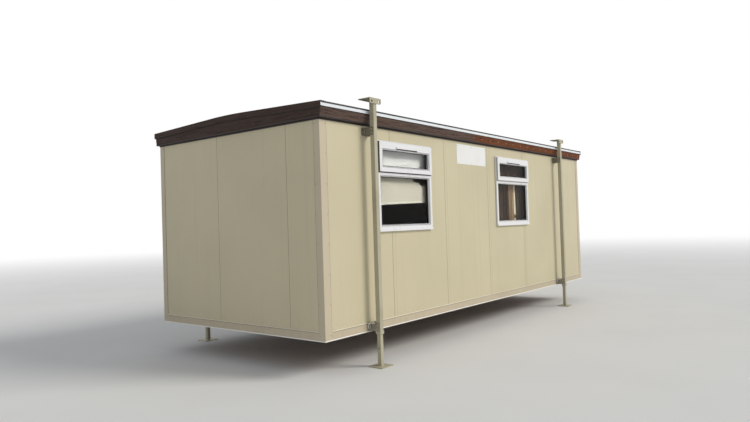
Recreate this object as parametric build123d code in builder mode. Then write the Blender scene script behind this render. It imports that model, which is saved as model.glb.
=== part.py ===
from build123d import *
import os
from math import atan2, sin

# Portable site cabin on four telescopic jack legs.
# Millimetres, +Z up. The origin is on the ground below the middle of the plan.
# X runs along the cabin, the window side faces -Y and the door side faces +Y.

os.makedirs("parts", exist_ok=True)

# Body
LENGTH = 7300  # over the wall panels
WIDTH = 2910
GROUND_GAP = 380  # from the ground to the bottom edge of the cabin
WALL_HEIGHT = 2330  # from the bottom edge to the underside of the fascia
SEAT = 0.3  # gap between curved or soft pieces that rest on each other

# Wall panels, tongued and grooved, set out from the left and the back corner
PANEL_MODULE = 1200
PANEL_THICKNESS = 50
PANEL_LAP = 5  # how far the panels reach up behind the fascia's lower edge
PANEL_GAP = 1.0
PANEL_CHAMFER = 2.5
TONGUE_LENGTH = 15
TONGUE_WIDTH = 14
TONGUE_CLEARANCE = 0.5
SWAGE_OFFSET = 55  # from the joint to the rolled groove beside it
SWAGE_WIDTH = 8
SWAGE_DEPTH = 2

# Steel base frame
RAIL_DEPTH = 80
RAIL_FLANGE = 60
RAIL_THICKNESS = 4
JOIST_FLANGE = 40
JOIST_THICKNESS = 3
JOIST_SPACING = 600
DECK_THICKNESS = 18
DECK_CLEARANCE = 1

# Trims
BASE_TRIM_HEIGHT = 88
BASE_TRIM_RETURN = 40
BASE_LIP = 12
TRIM_THICKNESS = 2.5
TRIM_GAP = 0.5  # between trims that butt against each other
CORNER_TRIM_SIDE = 100
CORNER_TRIM_END = 85
CORNER_TRIM_RADIUS = 4
SHEET_THICKNESS = 3

# Roof
CEILING_THICKNESS = 10
EAVES_HEIGHT = 2489  # top of the roof core over the long walls, above the bottom edge
RIDGE_RISE = 50
RIDGE_ROUND = 300  # half the width of the rounded ridge
EAVES_OVERHANG = 65
EAVES_LIP = 15
SHEET_DRIP = 3
VERGE_OVERHANG = 42
VERGE_FACE = 65
VERGE_TOP = 60

# Fascias
FASCIA_HEIGHT = 110
FASCIA_THICKNESS = 9
FASCIA_FOOT = 40  # how far the lower edge stands out from the long wall
FASCIA_HEAD = 57  # and the upper edge
END_FASCIA_OUT = 30

# Windows
WINDOW_WIDTH = 1110
WINDOW_HEIGHT = 1060
WINDOW_SILL_HEIGHT = 1112  # above the bottom edge
WINDOW_PROUD = 25
WINDOW_DEPTH = 70
WINDOW_LAP = 10  # how far the frame laps over the wall
WINDOW_FIT = 3
FRAME_FACE = 45
SILL_FACE = 64
SILL_NOSE = 26  # height of the nosing along the sill's lower edge
SILL_NOSE_OUT = 10
TRANSOM_LOW = 653  # above the window's lower edge
TRANSOM_FACE = 70
SASH_MARGIN = 14  # frame left showing round the sash
SASH_LAP = 27  # how far the sash laps over the transom
SASH_PROUD = 24
SASH_FACE = 55
SASH_HEAD_FACE = 84
SASH_BODY_DEPTH = 40  # part of the sash inside the frame
GLASS_THICKNESS = 24
GLASS_RECESS = 26  # from the frame's face, or the sash's, to the glass
GLASS_BITE = 10
VENT_LENGTH = 450
VENT_HEIGHT = 20
VENT_OUT = 12
VENT_DROP = 48  # from the top of the sash to the top of the vent hood
FRONT_WINDOWS_FROM_LEFT = (1485, 4400)  # from the left end to each middle
BACK_WINDOW_FROM_LEFT = 1485

# Blind behind the left front window and curtains behind the right one
BLIND_WIDTH = 1110
BLIND_DROP = 750
BLIND_THICKNESS = 2
BLIND_ROLLER_RADIUS = 16
BLIND_GAP = 22  # from the wall's inner face to the roller
BLIND_EDGE = 10  # the cloth is narrower than its roller by this much at each end
CURTAIN_SPAN = 1480  # over both curtains
CURTAIN_MEET = 300  # how far right of the window's middle they meet
CURTAIN_DROP = 1080
CURTAIN_THICKNESS = 4
CURTAIN_FOLD = 12  # half the depth of the folds
CURTAIN_PITCH = 70
CURTAIN_GAP = 60
CURTAIN_RAIL_HEIGHT = 18
CURTAIN_RAIL_DEPTH = 74
CURTAIN_OPENING = 60

# Door in the back wall
DOOR_FROM_LEFT = 4200  # from the left end to the door's middle
DOOR_WIDTH = 940
DOOR_HEAD = 182  # from the fascia down to the door frame
DOOR_FRAME_FACE = 50
DOOR_FRAME_DEPTH = 65
DOOR_PROUD = 15
DOOR_STOP = 14
DOOR_GAP = 3
LEAF_THICKNESS = 45
HANDLE_HEIGHT = 1020
HANDLE_INSET = 60
HANDLE_PLATE = (40, 220, 8)
LEVER_RADIUS = 10
LEVER_LENGTH = 120
LEVER_STANDOFF = 45

# Sign
SIGN_WIDTH = 820
SIGN_HEIGHT = 275
SIGN_FROM_LEFT = 3145  # from the left end to the sign's middle
SIGN_TOP_GAP = 54  # below the fascia

# Jack legs
LEG_INSET = {"left": 760, "right": 1160}  # from each end to the leg's axis
LEG_OUT = 115  # from the wall's face to the leg's axis
TUBE_SIZE = 60
TUBE_WALL = 4
TUBE_TOP = 2600  # above the bottom edge
TUBE_DROP = 20  # below the bottom edge
COLLAR_SIZE = 70
COLLAR_HEIGHT = 30
INNER_SIZE = 50
INNER_WALL = 4
INNER_LENGTH = 1600
CORNER_RADIUS = 6
INNER_RADIUS = 5
PIN_RADIUS = 8
PIN_PITCH = 250
PIN_COUNT = 3
FIRST_PIN = 204  # above the ground
FOOT_SIZE = 200
FOOT_THICKNESS = 10

# Lifting heads
HEAD_LENGTH = 200
HEAD_REACH = 170
HEAD_DEPTH = 64
HEAD_THICKNESS = 10
LUG_RADIUS = 15
LUG_SPACING = 130
LUG_DROP = 38  # below the top of the head
LUG_CORNER = 22

# Leg brackets
BRACKET_WIDTH = 160
BRACKET_PLATE = 8
CHEEK_THICKNESS = 6
CHEEK_SHORT = 12  # how far the cheeks end behind the leg's front
UPPER_BRACKET_LOW = 2200  # above the bottom edge
UPPER_BRACKET_HEIGHT = 90
LOWER_BRACKET_HEIGHT = 93
BRACKET_CORNER = 15

# Derived heights and places
BASE_Z = GROUND_GAP
RAIL_Z = BASE_Z + TRIM_THICKNESS
PANEL_Z = RAIL_Z + RAIL_DEPTH
FASCIA_Z = BASE_Z + WALL_HEIGHT
PANEL_TOP = FASCIA_Z + PANEL_LAP
ROOF_Z = PANEL_TOP + CEILING_THICKNESS
EAVES_Z = BASE_Z + EAVES_HEIGHT
ROOF_SLOPE = RIDGE_RISE / (WIDTH / 2)
RIDGE_RADIUS = RIDGE_ROUND / sin(atan2(RIDGE_RISE, WIDTH / 2))
FASCIA_TOP = FASCIA_Z + FASCIA_HEIGHT
FASCIA_RAKE = (FASCIA_HEAD - FASCIA_FOOT) / FASCIA_HEIGHT
WINDOW_Z = BASE_Z + WINDOW_SILL_HEIGHT
FRONT_WINDOW_X = [middle - LENGTH / 2 for middle in FRONT_WINDOWS_FROM_LEFT]
BACK_WINDOW_X = BACK_WINDOW_FROM_LEFT - LENGTH / 2
DOOR_X = DOOR_FROM_LEFT - LENGTH / 2
SIGN_X = SIGN_FROM_LEFT - LENGTH / 2
TUBE_Z = BASE_Z - TUBE_DROP
TUBE_TOP_Z = BASE_Z + TUBE_TOP
SHEET_END = LENGTH / 2 + VERGE_OVERHANG - SHEET_THICKNESS - TRIM_GAP

# Each wall's plane: local X runs along the wall and local Y points indoors
FRONT = Plane(origin=(0, -WIDTH / 2, 0), x_dir=(1, 0, 0), z_dir=(0, 0, 1))
BACK = Plane(origin=(0, WIDTH / 2, 0), x_dir=(-1, 0, 0), z_dir=(0, 0, 1))
LEFT = Plane(origin=(-LENGTH / 2, 0, 0), x_dir=(0, -1, 0), z_dir=(0, 0, 1))
RIGHT = Plane(origin=(LENGTH / 2, 0, 0), x_dir=(0, 1, 0), z_dir=(0, 0, 1))


def save(builder, name):
    """Label a finished piece and write it to its own file."""
    builder.part.label = name
    export_step(builder.part, f"parts/{name}.step")


def roof_line(y, lift=0.0):
    """Height of the roof's slope at a distance y from the middle, before the ridge is rounded."""
    return EAVES_Z + RIDGE_RISE - ROOF_SLOPE * abs(y) + lift


def roof_outline(x, half_width, bottom, lift=0.0, flat_bottom=True):
    """Face across the cabin at x, under the roof's line, with a flat or a parallel underside."""
    with BuildSketch(Plane.YZ.offset(x)) as outline:
        with BuildLine():
            if flat_bottom:
                Polyline(
                    (-half_width, bottom),
                    (half_width, bottom),
                    (half_width, roof_line(half_width, lift)),
                    (0, roof_line(0, lift)),
                    (-half_width, roof_line(half_width, lift)),
                    close=True,
                )
            else:
                Polyline(
                    (-half_width, roof_line(half_width, bottom)),
                    (0, roof_line(0, bottom)),
                    (half_width, roof_line(half_width, bottom)),
                    (half_width, roof_line(half_width, lift)),
                    (0, roof_line(0, lift)),
                    (-half_width, roof_line(half_width, lift)),
                    close=True,
                )
        make_face()
        fillet(outline.vertices().sort_by(Axis.Y)[-1], RIDGE_RADIUS + lift)
        if not flat_bottom:
            middle = outline.vertices().filter_by_position(Axis.X, -1, 1)
            fillet(middle.sort_by(Axis.Y)[0], RIDGE_RADIUS + bottom)
    return outline.sketch


def panel_outline(start, end, tongue, groove):
    """Plan of one wall panel from joint to joint, outdoors at local Y = 0."""
    near = start + (PANEL_GAP / 2 if groove else 0)
    far = end - (PANEL_GAP / 2 if tongue else 0)
    middle = PANEL_THICKNESS / 2
    half_tongue = TONGUE_WIDTH / 2
    half_groove = half_tongue + TONGUE_CLEARANCE
    groove_depth = TONGUE_LENGTH - PANEL_GAP + TONGUE_CLEARANCE
    points = []
    if groove:
        swage = start + SWAGE_OFFSET
        points += [(near, PANEL_CHAMFER), (near + PANEL_CHAMFER, 0)]
        if swage + SWAGE_WIDTH < far - PANEL_CHAMFER:
            points += [
                (swage - SWAGE_WIDTH / 2, 0),
                (swage, SWAGE_DEPTH),
                (swage + SWAGE_WIDTH / 2, 0),
            ]
    else:
        points += [(near, 0)]
    if tongue:
        points += [
            (far - PANEL_CHAMFER, 0),
            (far, PANEL_CHAMFER),
            (far, middle - half_tongue),
            (far + TONGUE_LENGTH, middle - half_tongue),
            (far + TONGUE_LENGTH, middle + half_tongue),
            (far, middle + half_tongue),
        ]
    else:
        points += [(far, 0)]
    points += [(far, PANEL_THICKNESS), (near, PANEL_THICKNESS)]
    if groove:
        points += [
            (near, middle + half_groove),
            (near + groove_depth, middle + half_groove),
            (near + groove_depth, middle - half_groove),
            (near, middle - half_groove),
        ]
    return points


def panel_joints(start, end, module):
    """Joint positions along a wall, from its start corner to its end corner."""
    joints = [start]
    while joints[-1] + module < end:
        joints.append(joints[-1] + module)
    return joints + [end]


def wall_sketch(plane, joints):
    """All panels of one wall in plan, as separate faces at the height of the base frame."""
    with BuildSketch(plane.offset(PANEL_Z)) as plan:
        for number, (start, end) in enumerate(zip(joints, joints[1:])):
            tongue = number < len(joints) - 2
            groove = number > 0
            with BuildLine():
                Polyline(*panel_outline(start, end, tongue, groove), close=True)
            make_face()
    return plan.sketch


def wall_opening(plane, centre, low, width, height):
    """Cut a doorway or window hole through the wall of the current part."""
    with BuildSketch(plane.offset(low)) as opening:
        with Locations((centre, PANEL_THICKNESS / 2)):
            Rectangle(width, PANEL_THICKNESS * 2)
    extrude(opening.sketch, amount=height, mode=Mode.SUBTRACT)


HOLE_WIDTH = WINDOW_WIDTH - 2 * WINDOW_LAP + 2 * WINDOW_FIT
HOLE_HEIGHT = WINDOW_HEIGHT - 2 * WINDOW_LAP + 2 * WINDOW_FIT
HOLE_Z = WINDOW_Z + WINDOW_LAP - WINDOW_FIT
DOOR_Z = BASE_Z + BASE_TRIM_HEIGHT
DOOR_HEIGHT = FASCIA_Z - DOOR_HEAD - DOOR_Z

# Base frame: two channels along the sides
with BuildPart() as chassis_rails:
    with BuildSketch(Plane.YZ.offset(-LENGTH / 2)):
        with Locations((-WIDTH / 2 + RAIL_FLANGE / 2, RAIL_Z + RAIL_DEPTH / 2)):
            Rectangle(RAIL_FLANGE, RAIL_DEPTH)
        with Locations((-WIDTH / 2 + RAIL_FLANGE / 2 + RAIL_THICKNESS, RAIL_Z + RAIL_DEPTH / 2)):
            Rectangle(RAIL_FLANGE, RAIL_DEPTH - 2 * RAIL_THICKNESS, mode=Mode.SUBTRACT)
    extrude(amount=LENGTH)
    mirror(about=Plane.XZ)
save(chassis_rails, "chassis_rails")

# Base frame: channels across the ends and joists between, coped into the side channels
JOIST_COUNT = int((LENGTH - 2 * JOIST_SPACING) // JOIST_SPACING) + 1
JOIST_SPAN = WIDTH - 2 * RAIL_THICKNESS


def cross_channel(x, web, flange, thickness, facing):
    """Add a channel across the cabin, its web at x and its flanges pointing along facing."""
    with BuildSketch(Plane.XZ.offset(-JOIST_SPAN / 2)) as profile:
        with Locations((x + facing * flange / 2, RAIL_Z + web / 2)):
            Rectangle(flange, web)
        with Locations((x + facing * (flange / 2 + thickness), RAIL_Z + web / 2)):
            Rectangle(flange, web - 2 * thickness, mode=Mode.SUBTRACT)
    extrude(profile.sketch, amount=JOIST_SPAN)


with BuildPart() as chassis_crossmembers:
    for side in (-1, 1):
        cross_channel(side * LENGTH / 2, RAIL_DEPTH, RAIL_FLANGE, RAIL_THICKNESS, -side)
    for number in range(JOIST_COUNT):
        joist_x = (number - (JOIST_COUNT - 1) / 2) * JOIST_SPACING
        cross_channel(joist_x, RAIL_DEPTH, JOIST_FLANGE, JOIST_THICKNESS, 1)
    for side in (-1, 1):
        for flange_z in (RAIL_Z, RAIL_Z + RAIL_DEPTH - RAIL_THICKNESS):
            with BuildSketch(Plane.XY.offset(flange_z)):
                with Locations((0, side * (WIDTH - RAIL_FLANGE) / 2)):
                    Rectangle(LENGTH, RAIL_FLANGE)
            extrude(amount=RAIL_THICKNESS, mode=Mode.SUBTRACT)
save(chassis_crossmembers, "chassis_crossmembers")

# Floor deck on the joists, inside the walls
with BuildPart() as floor_deck:
    with BuildSketch(Plane.XY.offset(PANEL_Z)):
        inset = 2 * (PANEL_THICKNESS + DECK_CLEARANCE)
        Rectangle(LENGTH - inset, WIDTH - inset)
    extrude(amount=DECK_THICKNESS)
save(floor_deck, "floor_deck")

# Long walls
with BuildPart() as front_wall_panels:
    add(wall_sketch(FRONT, panel_joints(-LENGTH / 2, LENGTH / 2, PANEL_MODULE)))
    extrude(amount=PANEL_TOP - PANEL_Z)
    for window_x in FRONT_WINDOW_X:
        wall_opening(FRONT, window_x, HOLE_Z, HOLE_WIDTH, HOLE_HEIGHT)
save(front_wall_panels, "front_wall_panels")

back_joints = [-joint for joint in reversed(panel_joints(-LENGTH / 2, LENGTH / 2, PANEL_MODULE))]
with BuildPart() as back_wall_panels:
    add(wall_sketch(BACK, back_joints))
    extrude(amount=PANEL_TOP - PANEL_Z)
    wall_opening(BACK, -BACK_WINDOW_X, HOLE_Z, HOLE_WIDTH, HOLE_HEIGHT)
    wall_opening(BACK, -DOOR_X, PANEL_Z, DOOR_WIDTH, DOOR_Z + DOOR_HEIGHT - PANEL_Z)
save(back_wall_panels, "back_wall_panels")

# End walls, between the long walls and set out from the back corner
end_start = -WIDTH / 2 + PANEL_THICKNESS + PANEL_GAP
end_stop = WIDTH / 2 - PANEL_THICKNESS - PANEL_GAP
end_joints = panel_joints(-WIDTH / 2, WIDTH / 2, PANEL_MODULE)
end_joints = [end_start] + end_joints[1:-1] + [end_stop]
with BuildPart() as left_end_panels:
    add(wall_sketch(LEFT, end_joints))
    extrude(amount=PANEL_TOP - PANEL_Z)
save(left_end_panels, "left_end_panels")

right_joints = [-joint for joint in reversed(end_joints)]
with BuildPart() as right_end_panels:
    add(wall_sketch(RIGHT, right_joints))
    extrude(amount=PANEL_TOP - PANEL_Z)
save(right_end_panels, "right_end_panels")

# Corner angles over the panels' ends, down to the lip of the base trim
with BuildPart() as corner_trims:
    outer_x = LENGTH / 2 + TRIM_THICKNESS
    outer_y = WIDTH / 2 + TRIM_THICKNESS
    with BuildSketch(Plane.XY.offset(BASE_Z + BASE_LIP)) as angle:
        with BuildLine():
            Polyline(
                (outer_x, outer_y),
                (LENGTH / 2 - CORNER_TRIM_SIDE, outer_y),
                (LENGTH / 2 - CORNER_TRIM_SIDE, WIDTH / 2),
                (LENGTH / 2, WIDTH / 2),
                (LENGTH / 2, WIDTH / 2 - CORNER_TRIM_END),
                (outer_x, WIDTH / 2 - CORNER_TRIM_END),
                close=True,
            )
        make_face()
        fillet(angle.vertices().sort_by_distance((0, 0))[-1], CORNER_TRIM_RADIUS)
    extrude(amount=WALL_HEIGHT - BASE_LIP)
    mirror(about=Plane.XZ)
    mirror(about=Plane.YZ)
save(corner_trims, "corner_trims")

# Base trim: a folded strip round the foot of the walls, with a rounded lip that runs on
# under the corner angles
with BuildPart() as base_trim:
    with BuildLine() as trim_path:
        Polyline(
            (0, -WIDTH / 2, BASE_Z),
            (LENGTH / 2, -WIDTH / 2, BASE_Z),
            (LENGTH / 2, WIDTH / 2, BASE_Z),
            (-LENGTH / 2, WIDTH / 2, BASE_Z),
            (-LENGTH / 2, -WIDTH / 2, BASE_Z),
            close=True,
        )
    with BuildSketch(Plane(origin=(0, -WIDTH / 2, BASE_Z), x_dir=(0, -1, 0), z_dir=(-1, 0, 0))):
        with BuildLine():
            Polyline(
                (TRIM_THICKNESS, BASE_LIP),
                (TRIM_THICKNESS, BASE_TRIM_HEIGHT),
                (0, BASE_TRIM_HEIGHT),
                (0, TRIM_THICKNESS),
                (-BASE_TRIM_RETURN, TRIM_THICKNESS),
                (-BASE_TRIM_RETURN, 0),
                (TRIM_THICKNESS, 0),
            )
            ThreePointArc(
                (TRIM_THICKNESS, 0),
                (TRIM_THICKNESS + BASE_LIP / 2, BASE_LIP / 2),
                (TRIM_THICKNESS, BASE_LIP),
            )
        make_face()
    sweep(path=trim_path.wires()[0], transition=Transition.RIGHT)
    with BuildSketch(Plane.XY.offset(BASE_Z + BASE_LIP)):
        with GridLocations(LENGTH, WIDTH, 2, 2):
            Rectangle(2 * (CORNER_TRIM_SIDE + TRIM_GAP), 2 * (CORNER_TRIM_END + TRIM_GAP))
    extrude(amount=BASE_TRIM_HEIGHT, mode=Mode.SUBTRACT)
save(base_trim, "base_trim")

# Ceiling board on the walls
with BuildPart() as ceiling_board:
    with BuildSketch(Plane.XY.offset(PANEL_TOP)):
        Rectangle(LENGTH, WIDTH)
    extrude(amount=CEILING_THICKNESS)
save(ceiling_board, "ceiling_board")

# Insulated roof core with a low pitch and a rounded ridge
with BuildPart() as roof_core:
    extrude(roof_outline(-LENGTH / 2, WIDTH / 2, ROOF_Z), amount=LENGTH)
save(roof_core, "roof_core")

# Roof sheet over the core, dripping past the eaves trims
with BuildPart() as roof_sheet:
    sheet_half = WIDTH / 2 + EAVES_OVERHANG + SHEET_DRIP
    sheet = roof_outline(-SHEET_END, sheet_half, SEAT, SEAT + SHEET_THICKNESS, flat_bottom=False)
    extrude(sheet, amount=2 * SHEET_END)
save(roof_sheet, "roof_sheet")


def fascia_back(z):
    """Distance from the middle of the plan to the back of a long fascia's raked board."""
    return WIDTH / 2 + FASCIA_FOOT - FASCIA_THICKNESS + FASCIA_RAKE * (z - FASCIA_Z)


# Long fascias: raked boards with a return to the wall under them
with BuildPart() as side_fascias:
    with BuildSketch(Plane(origin=(0, -WIDTH / 2, 0), x_dir=(0, -1, 0), z_dir=(-1, 0, 0))):
        with BuildLine():
            return_top = FASCIA_Z + FASCIA_THICKNESS
            Polyline(
                (0, FASCIA_Z),
                (FASCIA_FOOT, FASCIA_Z),
                (FASCIA_HEAD, FASCIA_TOP),
                (FASCIA_HEAD - FASCIA_THICKNESS, FASCIA_TOP),
                (fascia_back(return_top) - WIDTH / 2, return_top),
                (0, return_top),
                close=True,
            )
        make_face()
    extrude(amount=LENGTH / 2 + END_FASCIA_OUT, both=True)
    mirror(about=Plane.XZ)
save(side_fascias, "side_fascias")

# End fascias: upright boards cut to the roof's pitch, housed behind the long ones
HOUSING_Z = FASCIA_Z + FASCIA_THICKNESS + TRIM_GAP
HOUSING_TOP = FASCIA_TOP - TRIM_GAP
with BuildPart() as end_fascias:
    board_end = LENGTH / 2 + END_FASCIA_OUT
    wall_half = WIDTH / 2 - TRIM_GAP
    foot_half = fascia_back(HOUSING_Z) - TRIM_GAP
    head_half = fascia_back(HOUSING_TOP) - TRIM_GAP
    with BuildSketch(Plane.YZ.offset(board_end)):
        with BuildLine():
            Polyline(
                (0, FASCIA_Z),
                (wall_half, FASCIA_Z),
                (wall_half, HOUSING_Z),
                (foot_half, HOUSING_Z),
                (head_half, HOUSING_TOP),
                (wall_half, HOUSING_TOP),
                (wall_half, roof_line(0)),
                (0, roof_line(0)),
                close=True,
            )
        make_face()
        mirror(about=Plane.YZ)
    extrude(amount=-FASCIA_THICKNESS)
    extrude(
        roof_outline(board_end, head_half, FASCIA_Z),
        amount=-FASCIA_THICKNESS,
        mode=Mode.INTERSECT,
    )
    with BuildSketch(Plane.XY.offset(FASCIA_Z)):
        with Locations((LENGTH / 2 + (END_FASCIA_OUT - FASCIA_THICKNESS) / 2, 0)):
            Rectangle(END_FASCIA_OUT - FASCIA_THICKNESS, 2 * wall_half)
    extrude(amount=FASCIA_THICKNESS)
    mirror(about=Plane.YZ)
save(end_fascias, "end_fascias")

# Eaves trims: folded channels between the fascias and the roof sheet
with BuildPart() as eaves_trims:
    trim_top = roof_line(WIDTH / 2 + EAVES_OVERHANG)
    with BuildSketch(Plane(origin=(0, -WIDTH / 2, 0), x_dir=(0, -1, 0), z_dir=(-1, 0, 0))):
        with BuildLine():
            Polyline(
                (0, trim_top),
                (EAVES_OVERHANG, trim_top),
                (EAVES_OVERHANG, FASCIA_TOP),
                (EAVES_OVERHANG - EAVES_LIP, FASCIA_TOP),
                (EAVES_OVERHANG - EAVES_LIP, FASCIA_TOP + TRIM_THICKNESS),
                (EAVES_OVERHANG - TRIM_THICKNESS, FASCIA_TOP + TRIM_THICKNESS),
                (EAVES_OVERHANG - TRIM_THICKNESS, trim_top - TRIM_THICKNESS),
                (0, trim_top - TRIM_THICKNESS),
                close=True,
            )
        make_face()
    extrude(amount=SHEET_END, both=True)
    mirror(about=Plane.XZ)
save(eaves_trims, "eaves_trims")

# Verge trims: folded strips over the ends of the roof sheet
with BuildPart() as verge_trims:
    verge_half = WIDTH / 2 + EAVES_OVERHANG + SHEET_DRIP
    verge_low = SEAT + SHEET_THICKNESS + SEAT
    verge_high = verge_low + TRIM_THICKNESS
    verge_end = LENGTH / 2 + VERGE_OVERHANG
    face_low = verge_high - VERGE_FACE
    face = roof_outline(verge_end, verge_half, face_low, verge_high, flat_bottom=False)
    extrude(face, amount=-TRIM_THICKNESS)
    top = roof_outline(verge_end, verge_half, verge_low, verge_high, flat_bottom=False)
    extrude(top, amount=-VERGE_TOP)
    mirror(about=Plane.YZ)
save(verge_trims, "verge_trims")


def wall_box(plane, centre, out, width, low, height, depth, mode=Mode.ADD):
    """Box on a wall: out is how far its outdoor face stands off the wall's face."""
    with BuildSketch(plane.offset(low)) as profile:
        with Locations((centre, depth / 2 - out)):
            Rectangle(width, depth)
    extrude(profile.sketch, amount=height, mode=mode)


# Windows: fixed pane below a transom, top-hung sash with a vent hood above
DAYLIGHT_WIDTH = WINDOW_WIDTH - 2 * FRAME_FACE
PANE_Z = WINDOW_Z + SILL_FACE
PANE_HEIGHT = TRANSOM_LOW - SILL_FACE
SASH_OPENING_Z = WINDOW_Z + TRANSOM_LOW + TRANSOM_FACE
SASH_OPENING_HEIGHT = WINDOW_HEIGHT - FRAME_FACE - TRANSOM_LOW - TRANSOM_FACE
SASH_WIDTH = WINDOW_WIDTH - 2 * SASH_MARGIN
SASH_Z = SASH_OPENING_Z - SASH_LAP
SASH_TOP_Z = WINDOW_Z + WINDOW_HEIGHT - SASH_MARGIN
SASH_OUT = WINDOW_PROUD + SASH_PROUD
SASH_GLASS_WIDTH = SASH_WIDTH - 2 * SASH_FACE
SASH_GLASS_Z = SASH_Z + SASH_FACE
SASH_GLASS_HEIGHT = SASH_TOP_Z - SASH_HEAD_FACE - SASH_GLASS_Z


def glass_unit(plane, centre, out, width, low, height, clearance=0.0, mode=Mode.ADD):
    """Double glazed unit behind an opening of the given size, or with clearance its groove."""
    wall_box(
        plane,
        centre,
        out + clearance,
        width + 2 * (GLASS_BITE + clearance),
        low - GLASS_BITE - clearance,
        height + 2 * (GLASS_BITE + clearance),
        GLASS_THICKNESS + 2 * clearance,
        mode,
    )


def window(plane, centre, number):
    """Build one window of frame, sash and glass on the wall at the given plane."""
    pane_out = WINDOW_PROUD - GLASS_RECESS
    sash_glass_out = SASH_OUT - GLASS_RECESS
    with BuildPart() as frame:
        wall_box(plane, centre, WINDOW_PROUD, WINDOW_WIDTH, WINDOW_Z, WINDOW_HEIGHT, WINDOW_PROUD)
        wall_box(
            plane,
            centre,
            0,
            WINDOW_WIDTH - 2 * WINDOW_LAP,
            WINDOW_Z + WINDOW_LAP,
            WINDOW_HEIGHT - 2 * WINDOW_LAP,
            WINDOW_DEPTH - WINDOW_PROUD,
        )
        wall_box(
            plane,
            centre,
            WINDOW_PROUD + SILL_NOSE_OUT,
            WINDOW_WIDTH,
            WINDOW_Z,
            SILL_NOSE,
            SILL_NOSE_OUT,
        )
        for low, height in (
            (PANE_Z, PANE_HEIGHT),
            (SASH_OPENING_Z, SASH_OPENING_HEIGHT),
        ):
            wall_box(
                plane,
                centre,
                WINDOW_PROUD,
                DAYLIGHT_WIDTH,
                low,
                height,
                WINDOW_DEPTH,
                Mode.SUBTRACT,
            )
        glass_unit(
            plane, centre, pane_out, DAYLIGHT_WIDTH, PANE_Z, PANE_HEIGHT, SEAT, Mode.SUBTRACT
        )
    save(frame, f"window_{number}_frame")

    with BuildPart() as sash:
        wall_box(plane, centre, SASH_OUT, SASH_WIDTH, SASH_Z, SASH_TOP_Z - SASH_Z, SASH_PROUD)
        wall_box(
            plane,
            centre,
            WINDOW_PROUD,
            DAYLIGHT_WIDTH - 2 * SEAT,
            SASH_OPENING_Z + SEAT,
            SASH_OPENING_HEIGHT - 2 * SEAT,
            SASH_BODY_DEPTH,
        )
        wall_box(
            plane,
            centre,
            SASH_OUT,
            SASH_GLASS_WIDTH,
            SASH_GLASS_Z,
            SASH_GLASS_HEIGHT,
            SASH_PROUD + SASH_BODY_DEPTH,
            Mode.SUBTRACT,
        )
        glass_unit(
            plane,
            centre,
            sash_glass_out,
            SASH_GLASS_WIDTH,
            SASH_GLASS_Z,
            SASH_GLASS_HEIGHT,
            SEAT,
            Mode.SUBTRACT,
        )
        wall_box(
            plane,
            centre,
            SASH_OUT + VENT_OUT,
            VENT_LENGTH,
            SASH_TOP_Z - VENT_DROP - VENT_HEIGHT,
            VENT_HEIGHT,
            VENT_OUT,
        )
    save(sash, f"window_{number}_sash")

    with BuildPart() as glass:
        glass_unit(plane, centre, pane_out, DAYLIGHT_WIDTH, PANE_Z, PANE_HEIGHT)
        glass_unit(
            plane, centre, sash_glass_out, SASH_GLASS_WIDTH, SASH_GLASS_Z, SASH_GLASS_HEIGHT
        )
    save(glass, f"window_{number}_glass")


window(FRONT, FRONT_WINDOW_X[0], 1)
window(FRONT, FRONT_WINDOW_X[1], 2)
window(BACK, -BACK_WINDOW_X, 3)

# Roller blind behind the left front window: tube on two wall brackets, and the cloth
INDOORS_Y = -WIDTH / 2 + PANEL_THICKNESS
BLIND_TOP = WINDOW_Z + WINDOW_HEIGHT + BLIND_ROLLER_RADIUS
ROLLER_Y = INDOORS_Y + BLIND_GAP + BLIND_ROLLER_RADIUS
with BuildPart() as blind_roller:
    with BuildSketch(Plane.YZ.offset(FRONT_WINDOW_X[0] - BLIND_WIDTH / 2)):
        with Locations((ROLLER_Y, BLIND_TOP)):
            Circle(BLIND_ROLLER_RADIUS)
    extrude(amount=BLIND_WIDTH)
    for side in (-1, 1):
        bracket_x = FRONT_WINDOW_X[0] + side * BLIND_WIDTH / 2
        with BuildSketch(Plane.YZ.offset(bracket_x)):
            reach = BLIND_GAP + 2 * BLIND_ROLLER_RADIUS
            with Locations((INDOORS_Y + reach / 2, BLIND_TOP)):
                Rectangle(reach, 2 * BLIND_ROLLER_RADIUS)
        extrude(amount=side * SHEET_THICKNESS)
save(blind_roller, "blind_roller")

with BuildPart() as window_blind:
    cloth_y = ROLLER_Y - BLIND_ROLLER_RADIUS - SEAT - BLIND_THICKNESS / 2
    with BuildSketch(Plane.XY.offset(BLIND_TOP)):
        with Locations((FRONT_WINDOW_X[0], cloth_y)):
            Rectangle(BLIND_WIDTH - 2 * BLIND_EDGE, BLIND_THICKNESS)
    extrude(amount=-BLIND_DROP)
save(window_blind, "window_blind")

# Rail and two folded curtains of unequal width behind the right front window
CURTAIN_TOP = WINDOW_Z + WINDOW_HEIGHT
with BuildPart() as curtain_rail:
    with BuildSketch(Plane.XY.offset(CURTAIN_TOP)):
        with Locations((FRONT_WINDOW_X[1], INDOORS_Y + CURTAIN_RAIL_DEPTH / 2)):
            Rectangle(CURTAIN_SPAN, CURTAIN_RAIL_DEPTH)
    extrude(amount=CURTAIN_RAIL_HEIGHT)
save(curtain_rail, "curtain_rail")


def curtain_outline(start, width):
    """Plan of one curtain: zigzag folds from start to start + width, as thick as the cloth."""
    folds = round(width / CURTAIN_PITCH)
    front_edge = []
    back_edge = []
    for step in range(2 * folds + 1):
        x = start + width * step / (2 * folds)
        y = INDOORS_Y + CURTAIN_GAP + CURTAIN_FOLD * (-1) ** step
        front_edge.append((x, y - CURTAIN_THICKNESS / 2))
        back_edge.append((x, y + CURTAIN_THICKNESS / 2))
    return front_edge + back_edge[::-1]


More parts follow.
